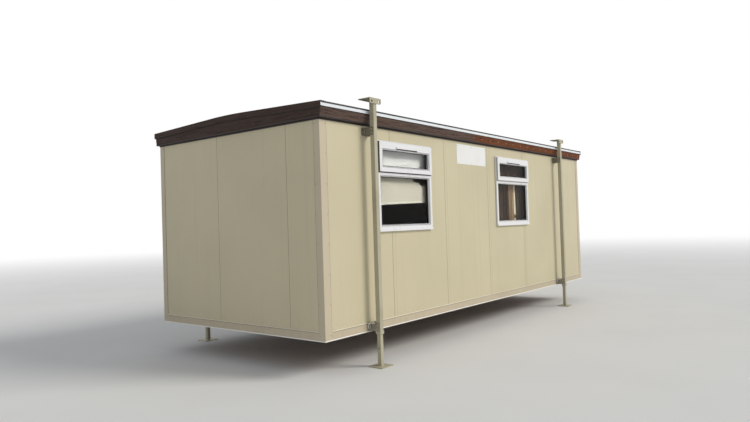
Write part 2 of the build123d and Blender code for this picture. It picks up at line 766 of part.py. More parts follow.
with BuildPart() as window_curtains:
    curtains_start = FRONT_WINDOW_X[1] - CURTAIN_SPAN / 2
    left_width = CURTAIN_SPAN / 2 + CURTAIN_MEET - CURTAIN_OPENING / 2
    right_width = CURTAIN_SPAN / 2 - CURTAIN_MEET - CURTAIN_OPENING / 2
    with BuildSketch(Plane.XY.offset(CURTAIN_TOP - SEAT)):
        for start, width in (
            (curtains_start, left_width),
            (curtains_start + left_width + CURTAIN_OPENING, right_width),
        ):
            with BuildLine():
                Polyline(*curtain_outline(start, width), close=True)
            make_face()
    extrude(amount=-CURTAIN_DROP)
save(window_curtains, "window_curtains")

# Door in the back wall: frame, flush steel leaf and lever handle
LEAF_WIDTH = DOOR_WIDTH - 2 * DOOR_FRAME_FACE - 2 * DOOR_GAP
LEAF_HEIGHT = DOOR_HEIGHT - 2 * DOOR_FRAME_FACE - 2 * DOOR_GAP
LEAF_Z = DOOR_Z + DOOR_FRAME_FACE + DOOR_GAP
with BuildPart() as door_frame:
    wall_box(BACK, -DOOR_X, DOOR_PROUD, DOOR_WIDTH, DOOR_Z, DOOR_HEIGHT, DOOR_FRAME_DEPTH)
    wall_box(
        BACK,
        -DOOR_X,
        DOOR_PROUD,
        LEAF_WIDTH + 2 * DOOR_GAP,
        LEAF_Z - DOOR_GAP,
        LEAF_HEIGHT + 2 * DOOR_GAP,
        LEAF_THICKNESS,
        mode=Mode.SUBTRACT,
    )
    wall_box(
        BACK,
        -DOOR_X,
        DOOR_PROUD,
        LEAF_WIDTH - 2 * DOOR_STOP,
        LEAF_Z + DOOR_STOP,
        LEAF_HEIGHT - 2 * DOOR_STOP,
        2 * DOOR_FRAME_DEPTH,
        mode=Mode.SUBTRACT,
    )
save(door_frame, "door_frame")

with BuildPart() as door_leaf:
    wall_box(BACK, -DOOR_X, DOOR_PROUD, LEAF_WIDTH, LEAF_Z, LEAF_HEIGHT, LEAF_THICKNESS)
save(door_leaf, "door_leaf")

with BuildPart() as door_handle:
    handle_x = DOOR_X + LEAF_WIDTH / 2 - HANDLE_INSET
    handle_z = LEAF_Z + HANDLE_HEIGHT
    handle_y = WIDTH / 2 + DOOR_PROUD
    with BuildSketch(Plane.XZ.offset(-handle_y)):
        with Locations((handle_x, handle_z)):
            Rectangle(HANDLE_PLATE[0], HANDLE_PLATE[1])
    extrude(amount=-HANDLE_PLATE[2])
    with BuildSketch(Plane.XZ.offset(-handle_y)):
        with Locations((handle_x, handle_z)):
            Circle(LEVER_RADIUS)
    extrude(amount=-LEVER_STANDOFF)
    with BuildSketch(Plane.YZ.offset(handle_x + LEVER_RADIUS)):
        with Locations((handle_y + LEVER_STANDOFF - LEVER_RADIUS, handle_z)):
            Circle(LEVER_RADIUS)
    extrude(amount=-LEVER_LENGTH)
save(door_handle, "door_handle")

# Plain sign board under the front fascia
with BuildPart() as sign_plate:
    sign_z = FASCIA_Z - SIGN_TOP_GAP - SIGN_HEIGHT
    wall_box(FRONT, SIGN_X, SHEET_THICKNESS, SIGN_WIDTH, sign_z, SIGN_HEIGHT, SHEET_THICKNESS)
save(sign_plate, "sign_plate")

# Jack legs at the four corners
LEG_X = {"left": LEG_INSET["left"] - LENGTH / 2, "right": LENGTH / 2 - LEG_INSET["right"]}
LEG_Y = {"front": -WIDTH / 2 - LEG_OUT, "back": WIDTH / 2 + LEG_OUT}
for row, leg_y in LEG_Y.items():
    for column, leg_x in LEG_X.items():
        corner = f"{row}_{column}"

        with BuildPart() as leg_tube:
            with BuildSketch(Plane.XY.offset(TUBE_Z + COLLAR_HEIGHT)):
                with Locations((leg_x, leg_y)):
                    RectangleRounded(TUBE_SIZE, TUBE_SIZE, CORNER_RADIUS)
                    bore = TUBE_SIZE - 2 * TUBE_WALL
                    RectangleRounded(bore, bore, CORNER_RADIUS - TUBE_WALL, mode=Mode.SUBTRACT)
            extrude(amount=TUBE_TOP_Z - TUBE_Z - COLLAR_HEIGHT)
            with BuildSketch(Plane.XY.offset(TUBE_Z)):
                with Locations((leg_x, leg_y)):
                    RectangleRounded(COLLAR_SIZE, COLLAR_SIZE, CORNER_RADIUS)
                    guide = INNER_SIZE + 2 * SEAT
                    Rectangle(guide, guide, mode=Mode.SUBTRACT)
            extrude(amount=COLLAR_HEIGHT)
        save(leg_tube, f"leg_tube_{corner}")

        with BuildPart() as inner_leg:
            with BuildSketch(Plane.XY.offset(FOOT_THICKNESS)):
                with Locations((leg_x, leg_y)):
                    RectangleRounded(INNER_SIZE, INNER_SIZE, INNER_RADIUS)
                    bore = INNER_SIZE - 2 * INNER_WALL
                    Rectangle(bore, bore, mode=Mode.SUBTRACT)
            extrude(amount=INNER_LENGTH)
            with BuildSketch(Plane.YZ.offset(leg_x - INNER_SIZE)):
                for number in range(PIN_COUNT):
                    with Locations((leg_y, FIRST_PIN + number * PIN_PITCH)):
                        Circle(PIN_RADIUS)
            extrude(amount=2 * INNER_SIZE, mode=Mode.SUBTRACT)
        save(inner_leg, f"inner_leg_{corner}")

        with BuildPart() as foot_plate:
            with BuildSketch(Plane.XY):
                with Locations((leg_x, leg_y)):
                    Rectangle(FOOT_SIZE, FOOT_SIZE)
            extrude(amount=FOOT_THICKNESS)
        save(foot_plate, f"foot_plate_{corner}")

# Lifting heads: angles on top of the legs with two eyes each
HEAD_TOP_Z = TUBE_TOP_Z + HEAD_THICKNESS
with BuildPart() as lifting_heads:
    for leg_x in LEG_X.values():
        tube_front = LEG_Y["front"] - TUBE_SIZE / 2
        with BuildSketch(Plane.XY.offset(TUBE_TOP_Z)):
            with Locations((leg_x, tube_front - HEAD_THICKNESS + HEAD_REACH / 2)):
                Rectangle(HEAD_LENGTH, HEAD_REACH)
        extrude(amount=HEAD_THICKNESS)
        with BuildSketch(Plane.XZ.offset(-tube_front)) as flange:
            with Locations((leg_x, HEAD_TOP_Z - HEAD_DEPTH / 2)):
                Rectangle(HEAD_LENGTH, HEAD_DEPTH)
            fillet(flange.vertices().group_by(Axis.Y)[0], LUG_CORNER)
            for side in (-1, 1):
                with Locations((leg_x + side * LUG_SPACING / 2, HEAD_TOP_Z - LUG_DROP)):
                    Circle(LUG_RADIUS, mode=Mode.SUBTRACT)
        extrude(amount=HEAD_THICKNESS)
    mirror(about=Plane.XZ)
save(lifting_heads, "lifting_heads")

# Brackets that hold the legs to the wall's head and foot
with BuildPart() as leg_brackets:
    for leg_x in LEG_X.values():
        for low, height, wall_out in (
            (UPPER_BRACKET_LOW, UPPER_BRACKET_HEIGHT, 0),
            (BASE_LIP + SEAT, LOWER_BRACKET_HEIGHT, TRIM_THICKNESS),
        ):
            plate_y = -WIDTH / 2 - wall_out
            with BuildSketch(Plane.XZ.offset(-plate_y)) as bracket_plate:
                with Locations((leg_x, BASE_Z + low + height / 2)):
                    Rectangle(BRACKET_WIDTH, height)
                chamfer(bracket_plate.vertices(), BRACKET_CORNER)
            extrude(amount=BRACKET_PLATE)
            for side in (-1, 1):
                cheek_x = leg_x + side * (TUBE_SIZE + CHEEK_THICKNESS) / 2
                cheek_length = LEG_OUT + TUBE_SIZE / 2 - CHEEK_SHORT - wall_out - BRACKET_PLATE
                with BuildSketch(Plane.XY.offset(BASE_Z + low)):
                    with Locations((cheek_x, plate_y - BRACKET_PLATE - cheek_length / 2)):
                        Rectangle(CHEEK_THICKNESS, cheek_length)
                extrude(amount=height)
    mirror(about=Plane.XZ)
save(leg_brackets, "leg_brackets")
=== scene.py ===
"""Dresses the portable site cabin: finishes, small fixings, soft furnishings, light and camera.

Metres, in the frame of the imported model. The window side faces -Y and the door side +Y.
"""
import math
import random

import bpy
from mathutils import Matrix, Vector
from mathutils import noise as field


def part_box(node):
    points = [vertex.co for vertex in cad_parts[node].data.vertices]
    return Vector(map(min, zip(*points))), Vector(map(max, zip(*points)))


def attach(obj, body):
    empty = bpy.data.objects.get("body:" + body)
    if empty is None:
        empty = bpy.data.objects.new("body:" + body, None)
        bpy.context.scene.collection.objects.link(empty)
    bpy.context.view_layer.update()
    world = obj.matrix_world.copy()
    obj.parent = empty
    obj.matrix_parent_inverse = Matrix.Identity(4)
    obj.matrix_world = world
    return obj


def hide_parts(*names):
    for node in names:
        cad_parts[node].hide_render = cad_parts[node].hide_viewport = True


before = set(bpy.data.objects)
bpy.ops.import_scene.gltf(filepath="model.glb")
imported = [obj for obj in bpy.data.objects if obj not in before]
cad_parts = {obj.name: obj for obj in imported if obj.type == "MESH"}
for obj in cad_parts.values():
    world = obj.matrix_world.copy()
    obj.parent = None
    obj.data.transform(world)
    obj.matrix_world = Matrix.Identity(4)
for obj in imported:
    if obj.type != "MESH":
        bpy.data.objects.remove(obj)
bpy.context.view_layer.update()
ROOT = "cabin"
SIDES = (-1, 1)

# Sizes read from the frame
WALL_LOW, WALL_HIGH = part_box("front_wall_panels")
FASCIA_LOW, FASCIA_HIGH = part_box("side_fascias")
SHEET_LOW, SHEET_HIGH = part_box("roof_sheet")
EAVES_LOW, EAVES_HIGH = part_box("eaves_trims")
DOOR_LOW, DOOR_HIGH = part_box("door_frame")
VERGE_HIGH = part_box("verge_trims")[1]
END_FASCIA_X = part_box("end_fascias")[1].x
DECK_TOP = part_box("floor_deck")[1].z
BASE_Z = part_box("base_trim")[0].z
FASCIA_Z = FASCIA_LOW.z
HALF_LENGTH = WALL_HIGH.x
HALF_WIDTH = -WALL_LOW.y
WALL_THICKNESS = WALL_HIGH.y - WALL_LOW.y
WINDOW_NUMBERS = (1, 2, 3)
WINDOW_BOXES = [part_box(f"window_{number}_frame") for number in WINDOW_NUMBERS]

# Sizes of the construction that the frame's boxes don't give
PANEL_MODULE = 1.2
TRIM_THICKNESS = 0.0025
CORNER_TRIM_SIDE = 0.100
CORNER_TRIM_END = 0.085
BASE_TRIM_HEIGHT = 0.088
BASE_TRIM_TOP = BASE_Z + BASE_TRIM_HEIGHT
BASE_SEAL = 0.0032  # height of the seal on the base trim
FRAME_FACE = 0.045
SILL_FACE = 0.064
TRANSOM_LOW = 0.653
WINDOW_WIDTH = 1.110
WINDOW_HEIGHT = 1.060
WINDOW_PROUD = 0.025
SASH_MARGIN = 0.014
SASH_FACE = 0.055
SASH_HEAD_FACE = 0.084
SASH_LOW = 0.696
SASH_PROUD = 0.024
GLASS_RECESS = 0.026
ROOF_RISE = 0.050
RIDGE_ROUND = 0.300
FASCIA_FOOT = 0.040
FASCIA_HEAD = 0.057
FASCIA_HEIGHT = 0.110
FASCIA_RAKE = (FASCIA_HEAD - FASCIA_FOOT) / FASCIA_HEIGHT
STRIP_HEIGHT = 0.020  # of the dark strips of painted shade under the fascias
TUBE_HALF = 0.030
BRACKET_PLATE = 0.008
CHEEK_THICKNESS = 0.006
COLLAR_HEIGHT = 0.030

# Camera, solved from the edges of the cabin in the 750 x 422 photograph
CAMERA_PLACE = Vector((-8.258, -5.826, 1.593))
CAMERA_HEADING = 38.515  # degrees from +X towards +Y
CAMERA_PITCH = 1.132
CAMERA_ROLL = 1.826
CAMERA_LENS = 29.43
SENSOR_WIDTH = 36.0

# Light
FLOOR_HALF = 120.0
FLOOR_FADE = (9.0, 42.0)  # distances over which the floor fades to the backdrop
BACKDROP_STRENGTH = 1.0
SKY_STRENGTH = 0.47
KEY_STRENGTH = 1.9
KEY_ANGLE = 24  # degrees across, for soft shadows
KEY_DIRECTION = Vector((0.42, -0.72, 0.55)).normalized()
KEY_COLOUR = (1.0, 0.965, 0.90)

# Colours of dirt and wear, as sRGB
DRIED_MUD = (150, 138, 110)
RUST = (112, 66, 36)
DUST = (206, 204, 196)

# Places where light and shade are painted into a colour
FASCIA_SUNLIGHT_PAINT = (-0.75, -0.15)  # X over which the front fascia's painted shade gives way to painted sunlight
# height above which painted light brightens the blind
BLIND_LIGHT_PAINT_Z = WINDOW_BOXES[0][0].z + (TRANSOM_LOW + SASH_LOW) / 2


def linear(colour):
    """Linear colour, with alpha, from one written as sRGB from 0 to 255."""
    values = []
    for channel in colour:
        c = channel / 255
        values.append(c / 12.92 if c <= 0.04045 else ((c + 0.055) / 1.055) ** 2.4)
    return (*values, 1.0)


def put(tree, socket, value):
    """Set a socket to a number or colour, or link it to another socket."""
    if isinstance(value, bpy.types.NodeSocket):
        tree.links.new(value, socket)
    else:
        socket.default_value = value


def add_node(tree, kind, inputs=None, **settings):
    """Add a node with its settings, fill its inputs, and return its outputs."""
    node = tree.nodes.new("ShaderNode" + kind)
    for name, value in settings.items():
        setattr(node, name, value)
    for socket, value in (inputs or {}).items():
        put(tree, node.inputs[socket], value)
    return node.outputs


MATERIALS = {}


class Finish:
    """A node material under construction, kept in MATERIALS by its name."""

    def __init__(self, name, colour, roughness, metallic=0.0, specular=0.5):
        material = MATERIALS[name] = bpy.data.materials.new(name)
        material.use_nodes = True
        self.tree = material.node_tree
        self.shader = self.tree.nodes["Principled BSDF"]
        self.place = self.node("TexCoord")["Object"]
        self.normal = None
        self.put("Base Color", linear(colour))
        self.put("Roughness", roughness)
        self.put("Metallic", metallic)
        self.put("Specular IOR Level", specular)

    def put(self, name, value):
        """Set or link one of the shader's inputs."""
        put(self.tree, self.shader.inputs[name], value)

    def node(self, kind, inputs=None, **settings):
        """Add a node and return its outputs."""
        return add_node(self.tree, kind, inputs, **settings)

    def noise(self, scale, detail=3.0, rough=0.55, stretch=None, distortion=0.0):
        """Noise from 0 to 1 over the object's coordinates, which may be scaled along each axis."""
        place = self.place
        if stretch:
            place = self.node("Mapping", {"Vector": place, "Scale": stretch})["Vector"]
        inputs = {"Vector": place, "Scale": scale, "Detail": detail, "Roughness": rough,
                  "Distortion": distortion}
        return self.node("TexNoise", inputs)["Fac"]

    def cells(self, scale):
        """Distance to the middle of the nearest cell."""
        return self.node("TexVoronoi", {"Vector": self.place, "Scale": scale})["Distance"]

    def wave(self, scale, direction):
        """Parallel bands along one axis."""
        inputs = {"Vector": self.place, "Scale": scale}
        return self.node("TexWave", inputs, bands_direction=direction)["Fac"]

    def axis(self, name):
        """One of the object's coordinates, in metres."""
        return self.node("SeparateXYZ", {"Vector": self.place})[name]

    def ramp(self, value, low, high, bottom=0.0, top=1.0):
        """Map low..high to bottom..top, clamped, with soft ends."""
        inputs = {"Value": value, "From Min": low, "From Max": high, "To Min": bottom,
                  "To Max": top}
        return self.node("MapRange", inputs, interpolation_type="SMOOTHSTEP")["Result"]

    def math(self, operation, a, b=0.0):
        """Arithmetic on two values."""
        return self.node("Math", {0: a, 1: b}, operation=operation)["Value"]

    def product(self, value, *others):
        """All the values multiplied."""
        for other in others:
            value = self.math("MULTIPLY", value, other)
        return value

    def within(self, axis, limit):
        """1 where a coordinate is nearer to the middle than a limit, and 0 beyond."""
        return self.math("LESS_THAN", self.math("ABSOLUTE", self.axis(axis)), limit)

    def tint(self, colour, factor):
        """Blend another colour over the base colour by a factor."""
        socket = self.shader.inputs["Base Color"]
        below = socket.links[0].from_socket if socket.is_linked else socket.default_value
        inputs = {"A": below, "B": linear(colour), "Factor": factor}
        self.put("Base Color", self.node("Mix", inputs, data_type="RGBA")["Result"])

    def fade_in(self, colour, value, low, high, amount=1.0):
        """Blend a colour in by up to an amount while a value goes from low to high."""
        self.tint(colour, self.ramp(value, low, high, 0.0, amount))

    def vary(self, factor, low, high):
        """Let roughness follow a factor from 0 to 1."""
        self.put("Roughness", self.ramp(factor, 0.0, 1.0, low, high))

    def relief(self, height, distance, strength=1.0):
        """Add a bump, on top of the bumps that are there."""
        inputs = {"Strength": strength, "Distance": distance, "Height": height}
        if self.normal is not None:
            inputs["Normal"] = self.normal
        self.normal = self.node("Bump", inputs)["Normal"]
        self.put("Normal", self.normal)

    def overlay(self, shader, factor):
        """Show another shader over this one by a factor."""
        inputs = {"Fac": factor, 1: self.shader.outputs["BSDF"], 2: shader}
        surface = self.tree.nodes["Material Output"].inputs["Surface"]
        put(self.tree, surface, self.node("MixShader", inputs)["Shader"])


def patchy(name, colour, roughness, patches, gloss=None, bump=None, metallic=0.0, specular=0.5):
    """Finish with patches of other colours, and with uneven gloss and a fine bump if given.

    A patch is a colour, a noise, the range of the noise over which it fades in, and how much.
    """
    finish = Finish(name, colour, roughness, metallic, specular)
    for patch, noise, low, high, amount in patches:
        finish.fade_in(patch, finish.noise(*noise), low, high, amount)
    if gloss:
        noise, low, high = gloss
        finish.vary(finish.noise(*noise), low, high)
    if bump:
        noise, distance, strength = bump
        finish.relief(finish.noise(*noise), distance, strength)


def coated_steel(name, colour, shade, waves=0.0012):
    """Plastic coated steel: leather grain, gentle waves of the thin skin, dirt near the ground."""
    finish = Finish(name, colour, 0.45)
    finish.fade_in(shade, finish.noise(0.9, 2.0), 0.35, 0.75, 0.35)
    rain_runs = finish.noise(1.0, 3.0, 0.5, (11.0, 11.0, 0.35))
    finish.fade_in(shade, rain_runs, 0.50, 0.80, 0.26)
    low = finish.ramp(finish.axis("Z"), BASE_Z, BASE_Z + 0.30, 1.0, 0.0)
    splashes = finish.ramp(finish.noise(22.0, 6.0, 0.7), 0.4, 0.8)
    finish.tint(DRIED_MUD, finish.product(low, splashes, 0.3))
    finish.vary(finish.noise(5.0, 4.0), 0.36, 0.56)
    finish.relief(finish.noise(1.0, 1.0, 0.4, (3.2, 3.2, 0.5)), waves)
    finish.relief(finish.cells(420.0), 0.00012, 0.6)
    return finish


def make_wall_steel():
    """Wall skin: coated outdoors, white lining indoors."""
    finish = coated_steel("wall_steel", (208, 198, 166), (190, 181, 150), 0.0032)
    lining = WALL_THICKNESS - 0.004  # depth at which the lining's colour starts
    inside = finish.product(finish.within("X", HALF_LENGTH - lining),
                            finish.within("Y", HALF_WIDTH - lining))
    finish.tint((226, 223, 212), inside)


def make_base_trim():
    """Base trim with a paler lower lip, a painted highlight along the lip."""
    finish = coated_steel("base_steel", (200, 187, 162), (178, 165, 142))
    lip = BASE_Z + 0.0120
    # painted highlight on the lower lip
    finish.fade_in((246, 244, 236), finish.axis("Z"), lip + 0.0005, lip - 0.0005)


def make_woodgrain(name, colour, pale, along_x):
    """Brown embossed woodgrain foil, grain along the board, with painted shade and a painted sky
    reflection on the front's near part and painted sunlight, redder, on its far part.
    """
    finish = Finish(name, colour, 0.5, specular=0.08)
    if along_x:
        front = finish.math("LESS_THAN", finish.axis("Y"), 0.0)
        painted_sunlight = finish.ramp(finish.axis("X"), *FASCIA_SUNLIGHT_PAINT)
        painted_shade = finish.math("SUBTRACT", 1.0, painted_sunlight)
        # painted shade with a painted sky reflection: greyer on the front's near part
        finish.tint((100, 87, 81), finish.product(painted_shade, front, 0.75))
        # painted sunlight: redder on the front's far part
        finish.tint((122, 68, 36), finish.product(painted_sunlight, front, 0.85))
    stretch = (2.2, 70.0, 70.0) if along_x else (70.0, 2.2, 70.0)
    grain = finish.noise(1.0, 6.0, 0.62, stretch, 1.6)
    finish.fade_in((50, 36, 30), grain, 0.44, 0.66, 0.85)
    finish.fade_in(pale, grain, 0.44, 0.26, 0.55)
    finish.fade_in((104, 90, 80), finish.noise(1.1, 3.0), 0.55, 0.9, 0.2)
    finish.vary(grain, 0.48, 0.64)
    finish.relief(grain, 0.0006, 0.8)


def make_painted_steel(name, colour, chip, rust_from):
    """Brushed-on paint over rolled steel, with a few rust spots and dull dirt."""
    finish = Finish(name, colour, 0.5)
    finish.fade_in(chip, finish.noise(3.0, 4.0), 0.42, 0.75, 0.55)
    drips = finish.noise(1.0, 3.0, 0.6, (45.0, 45.0, 3.0))
    finish.fade_in(chip, drips, 0.55, 0.75, 0.45)
    spots = finish.noise(26.0, 5.0, 0.65)
    finish.fade_in(RUST, spots, rust_from, rust_from + 0.06, 0.9)
    finish.vary(spots, 0.38, 0.7)
    finish.relief(finish.noise(160.0, 3.0), 0.0002, 0.5)


def make_zinc():
    """Hot-dip galvanising with its spangle, darker on the upper brackets, and with painted shade on
    the lower brackets.
    """
    finish = Finish("bracket_zinc", (176, 172, 158), 0.45, 0.25)
    spangle = finish.cells(70.0)
    finish.fade_in((206, 203, 192), spangle, 0.1, 0.7, 0.6)
    finish.fade_in((120, 112, 94), finish.noise(8.0, 5.0), 0.5, 0.8, 0.6)
    height = finish.axis("Z")
    between = BASE_Z + 1.0  # a height between the lower and the upper brackets
    # darker on the upper brackets
    finish.fade_in((104, 99, 80), height, between, between + 0.2, 0.78)
    # painted shade: darker on the lower brackets, as in their recesses
    finish.fade_in((128, 122, 106), height, between, between - 0.2, 0.65)
    finish.vary(spangle, 0.32, 0.6)
    finish.relief(finish.noise(220.0, 2.0), 0.00015, 0.5)


def make_roll_zinc():
    """Paler zinc of the rolled bars on the lower brackets, a painted highlight."""
    finish = Finish("roll_zinc_highlight", (222, 219, 208), 0.36, 0.15)
    finish.fade_in((164, 158, 142), finish.noise(40.0, 4.0), 0.5, 0.75, 0.6)
    finish.vary(finish.cells(90.0), 0.28, 0.5)


def make_window_plastic(name, colour, room_side_shade=False):
    """Smooth white plastic or powder coat with a trace of dust, and painted shade on the room side
    if asked.
    """
    finish = Finish(name, colour, 0.22)
    finish.fade_in(DUST, finish.noise(9.0, 5.0, 0.6), 0.5, 0.85, 0.12)
    if room_side_shade:
        # painted shade: the frames dark on the room side
        finish.tint((52, 45, 40), finish.within("Y", HALF_WIDTH - 0.0015))
    finish.vary(finish.noise(7.0, 3.0), 0.24, 0.34)
    finish.relief(finish.noise(60.0, 2.0), 0.0001, 0.4)


def make_glass():
    """Clear double glazing with a trace of dust, which daylight passes."""
    finish = Finish("window_glass", (248, 251, 250), 0.0)
    finish.put("Transmission Weight", 1.0)
    finish.put("IOR", 1.08)
    finish.vary(finish.noise(3.0, 4.0), 0.0, 0.03)
    clear = finish.node("BsdfTransparent", {"Color": (0.72, 0.74, 0.73, 1.0)})["BSDF"]
    finish.overlay(clear, finish.node("LightPath")["Is Shadow Ray"])


def make_deck():
    """Plywood deck under a grey vinyl floor."""
    finish = Finish("deck_board", (162, 128, 88), 0.7)
    grain = finish.noise(1.0, 6.0, 0.6, (2.0, 40.0, 40.0), 1.0)
    finish.fade_in((122, 90, 56), grain, 0.4, 0.7)
    vinyl = finish.ramp(finish.axis("Z"), DECK_TOP - 0.0025, DECK_TOP - 0.0015)
    finish.tint((128, 132, 136), vinyl)
    speckle = finish.ramp(finish.noise(260.0, 2.0), 0.6, 0.7)
    finish.tint((92, 96, 102), finish.product(speckle, vinyl))
    finish.relief(grain, 0.0004, 0.6)


def make_brushed_steel():
    """Satin steel of the door handle."""
    finish = Finish("handle_steel", (186, 188, 188), 0.32, 1.0)
    brush = finish.noise(1.0, 3.0, 0.6, (600.0, 30.0, 30.0))
    finish.fade_in((150, 152, 152), brush, 0.4, 0.7, 0.6)
    finish.vary(brush, 0.24, 0.42)


def make_nail_caps():
    """Brown caps of the fascia nails, with a painted highlight towards the far end of the long
    fascias and painted shade on the end fascias.
    """
    finish = Finish("nail_cap", (94, 66, 52), 0.35)
    # painted highlight: paler towards the far end of the long fascias
    finish.fade_in((198, 180, 158), finish.axis("X"), -1.2, 0.4)
    finish.fade_in((124, 100, 84), finish.noise(40.0, 3.0), 0.45, 0.7, 0.4)
    # painted shade: darker on the end fascias
    along = finish.math("ABSOLUTE", finish.axis("X"))
    finish.fade_in((72, 60, 54), along, FASCIA_HIGH.x - 0.06, FASCIA_HIGH.x - 0.03)


def make_cloth(name, colour, shade, threads=260.0, sheen=0.2):
    """Woven cloth: crossing threads, uneven dye and a soft sheen."""
    finish = Finish(name, colour, 0.85)
    finish.put("Sheen Weight", sheen)
    finish.put("Sheen Roughness", 0.5)
    crossing = finish.product(finish.wave(threads, "X"), finish.wave(threads, "Z"))
    finish.tint(shade, finish.ramp(crossing, 0.0, 1.0, 0.35, 0.0))
    finish.fade_in(shade, finish.noise(3.0, 4.0), 0.4, 0.75, 0.6)
    finish.relief(crossing, 0.00025, 0.7)
    return finish


def make_blind_cloth():
    """Cream blind cloth, with painted light on its part behind the top light of the window."""
    finish = make_cloth("blind_cloth", (210, 201, 186), (197, 187, 170))
    # painted light: paler where the sash's head shades the blind
    finish.fade_in((253, 250, 248), finish.axis("Z"), BLIND_LIGHT_PAINT_Z, BLIND_LIGHT_PAINT_Z + 0.03, 0.95)


def make_curtain_cloth():
    """Brown curtain cloth, with painted highlights along the left curtain's edge and on one fold of
    the right, below the transom only.
    """
    finish = make_cloth("curtain_cloth", (72, 45, 20), (40, 25, 11), 180.0, 0.04)
    across = finish.axis("X")
    lit_below_transom = finish.ramp(finish.axis("Z"), BASE_Z + 1.79, BASE_Z + 1.73)
    # painted highlights on lit folds, kept below the transom where the painted light falls
    for colour, amount, rise, fall in (
        ((172, 140, 108), 0.85, (0.830, 0.850), (1.024, 1.016)),
        ((150, 138, 120), 0.6, (1.330, 1.345), (1.420, 1.405)),
    ):
        painted_highlight = finish.product(finish.ramp(across, *rise), finish.ramp(across, *fall))
        finish.tint(colour, finish.product(painted_highlight, lit_below_transom, amount))


# Plain coated boards and plastics: colour, shade and roughness
BOARDS = {
    "ceiling_white": ((236, 235, 228), (214, 211, 200), 0.6),
    "edge_black": ((38, 39, 41), (58, 58, 56), 0.6),
    # painted shade: the dark strips and beads under and along the fascias and verges
    "fascia_edge_shade": ((34, 27, 25), (50, 42, 38), 0.5),
    # painted shade for the first window's bead gaskets
    "gasket_shade_grey": ((98, 97, 94), (80, 79, 76), 0.6),
    "gasket_pale": ((188, 188, 184), (170, 169, 164), 0.6),
    "joint_grey": ((92, 88, 75), (72, 68, 58), 0.7),
    "rail_white": ((230, 228, 220), (208, 204, 192), 0.4),
    "rivet_dull": ((122, 114, 95), (96, 88, 72), 0.5),
    "roof_foam": ((214, 206, 178), (190, 180, 150), 0.6),
    # painted shade for the first window's sash sides
    "sash_side_shade": ((78, 78, 79), (60, 60, 61), 0.6),
    "sign_white": ((240, 240, 238), (222, 222, 216), 0.3),
}

# Nodes that have each finish; panels, glass and legs are told by their names
FINISH_NODES = {
    "chassis_steel": ("chassis_rails", "chassis_crossmembers"),
    "deck_board": ("floor_deck",),
    "trim_steel": ("corner_trims",),
    "base_steel": ("base_trim",),
    "ceiling_white": ("ceiling_board",),
    "roof_foam": ("roof_core",),
    "roof_membrane": ("roof_sheet",),
    "fascia_long": ("side_fascias",),
    "fascia_end_shade": ("end_fascias", "verge_trims"),
    "trim_white": ("eaves_trims",),
    "rail_white": ("blind_roller", "curtain_rail"),
    "blind_cloth": ("window_blind",),
    "curtain_cloth": ("window_curtains",),
    "window_white": ("door_frame",),
    "door_steel": ("door_leaf",),
    "handle_steel": ("door_handle",),
    "sign_white": ("sign_plate",),
    "bracket_zinc": ("leg_brackets",),
}


def make_finishes():
    """Make every material."""
    make_wall_steel()
    make_base_trim()
    coated_steel("trim_steel", (203, 190, 165), (182, 169, 144))
    # painted highlight: a paler copy of the coated steel for the ridges above the base trim
    coated_steel("ridge_steel_highlight", (228, 220, 198), (206, 196, 172), 0.0)
    coated_steel("door_steel", (204, 194, 162), (184, 174, 144))
    make_painted_steel("chassis_steel", (58, 58, 57), (84, 78, 70), 0.62)
    make_painted_steel("leg_paint", (184, 178, 154), (160, 152, 128), 0.70)
    make_woodgrain("fascia_long", (92, 62, 46), (122, 76, 48), True)
    # painted shade: the end fascias and verges take a darker, greyer copy of the same brown foil
    make_woodgrain("fascia_end_shade", (74, 61, 55), (92, 72, 62), False)
    make_window_plastic("trim_white", (236, 240, 244))
    make_window_plastic("window_white", (236, 236, 238), True)
    make_glass()
    make_deck()
    make_brushed_steel()
    make_zinc()
    make_roll_zinc()
    make_nail_caps()
    make_blind_cloth()
    make_curtain_cloth()
    make_cloth("blind_hem", (226, 219, 208), (211, 203, 190))
    make_cloth("lining_cloth", (242, 234, 206), (226, 215, 182), sheen=0.3)
    for name, (colour, shade, roughness) in BOARDS.items():
        patchy(name, colour, roughness, [(shade, (2.2, 4.0), 0.42, 0.78, 0.5)],
               bump=((140.0, 2.0), 0.0001, 0.5))
    patchy("rubber_black", (30, 30, 31), 0.6, [((62, 61, 58), (30.0, 3.0), 0.5, 0.8, 0.6)],
           bump=((300.0, 2.0), 0.0001, 0.5))
    patchy("sealant_white", (214, 210, 196), 0.35,
           [((150, 142, 122), (12.0, 5.0), 0.45, 0.75, 0.6)])
    patchy("bolt_zinc", (168, 166, 156), 0.42, [((128, 116, 96), (60.0, 4.0), 0.5, 0.75, 0.7)],
           gloss=((90.0, 3.0), 0.26, 0.55), metallic=0.8)
    dust = ((104, 104, 98), (0.7, 4.0), 0.4, 0.75, 0.6)
    puddles = ((52, 54, 55), (1.9, 5.0, 0.6), 0.5, 0.72, 0.7)
    lichen = ((148, 150, 124), (14.0, 6.0, 0.7), 0.66, 0.74, 0.75)
    patchy("roof_membrane", (74, 76, 76), 0.55, [dust, puddles, lichen],
           gloss=((2.5, 4.0), 0.5, 0.75), bump=((90.0, 4.0), 0.0006, 0.5), specular=0.3)


def finish_nodes():
    """Give every carried-over node its finish."""
    chosen = {node: finish for finish, nodes in FINISH_NODES.items() for node in nodes}
    for name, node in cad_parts.items():
        if name in chosen:
            finish = chosen[name]
        elif name.endswith("_panels"):
            finish = "wall_steel"
        elif name.endswith("_glass"):
            finish = "window_glass"
        elif name.startswith("window_"):
            finish = "window_white"
        else:
            finish = "leg_paint"
        node.data.materials.clear()
        node.data.materials.append(MATERIALS[finish])


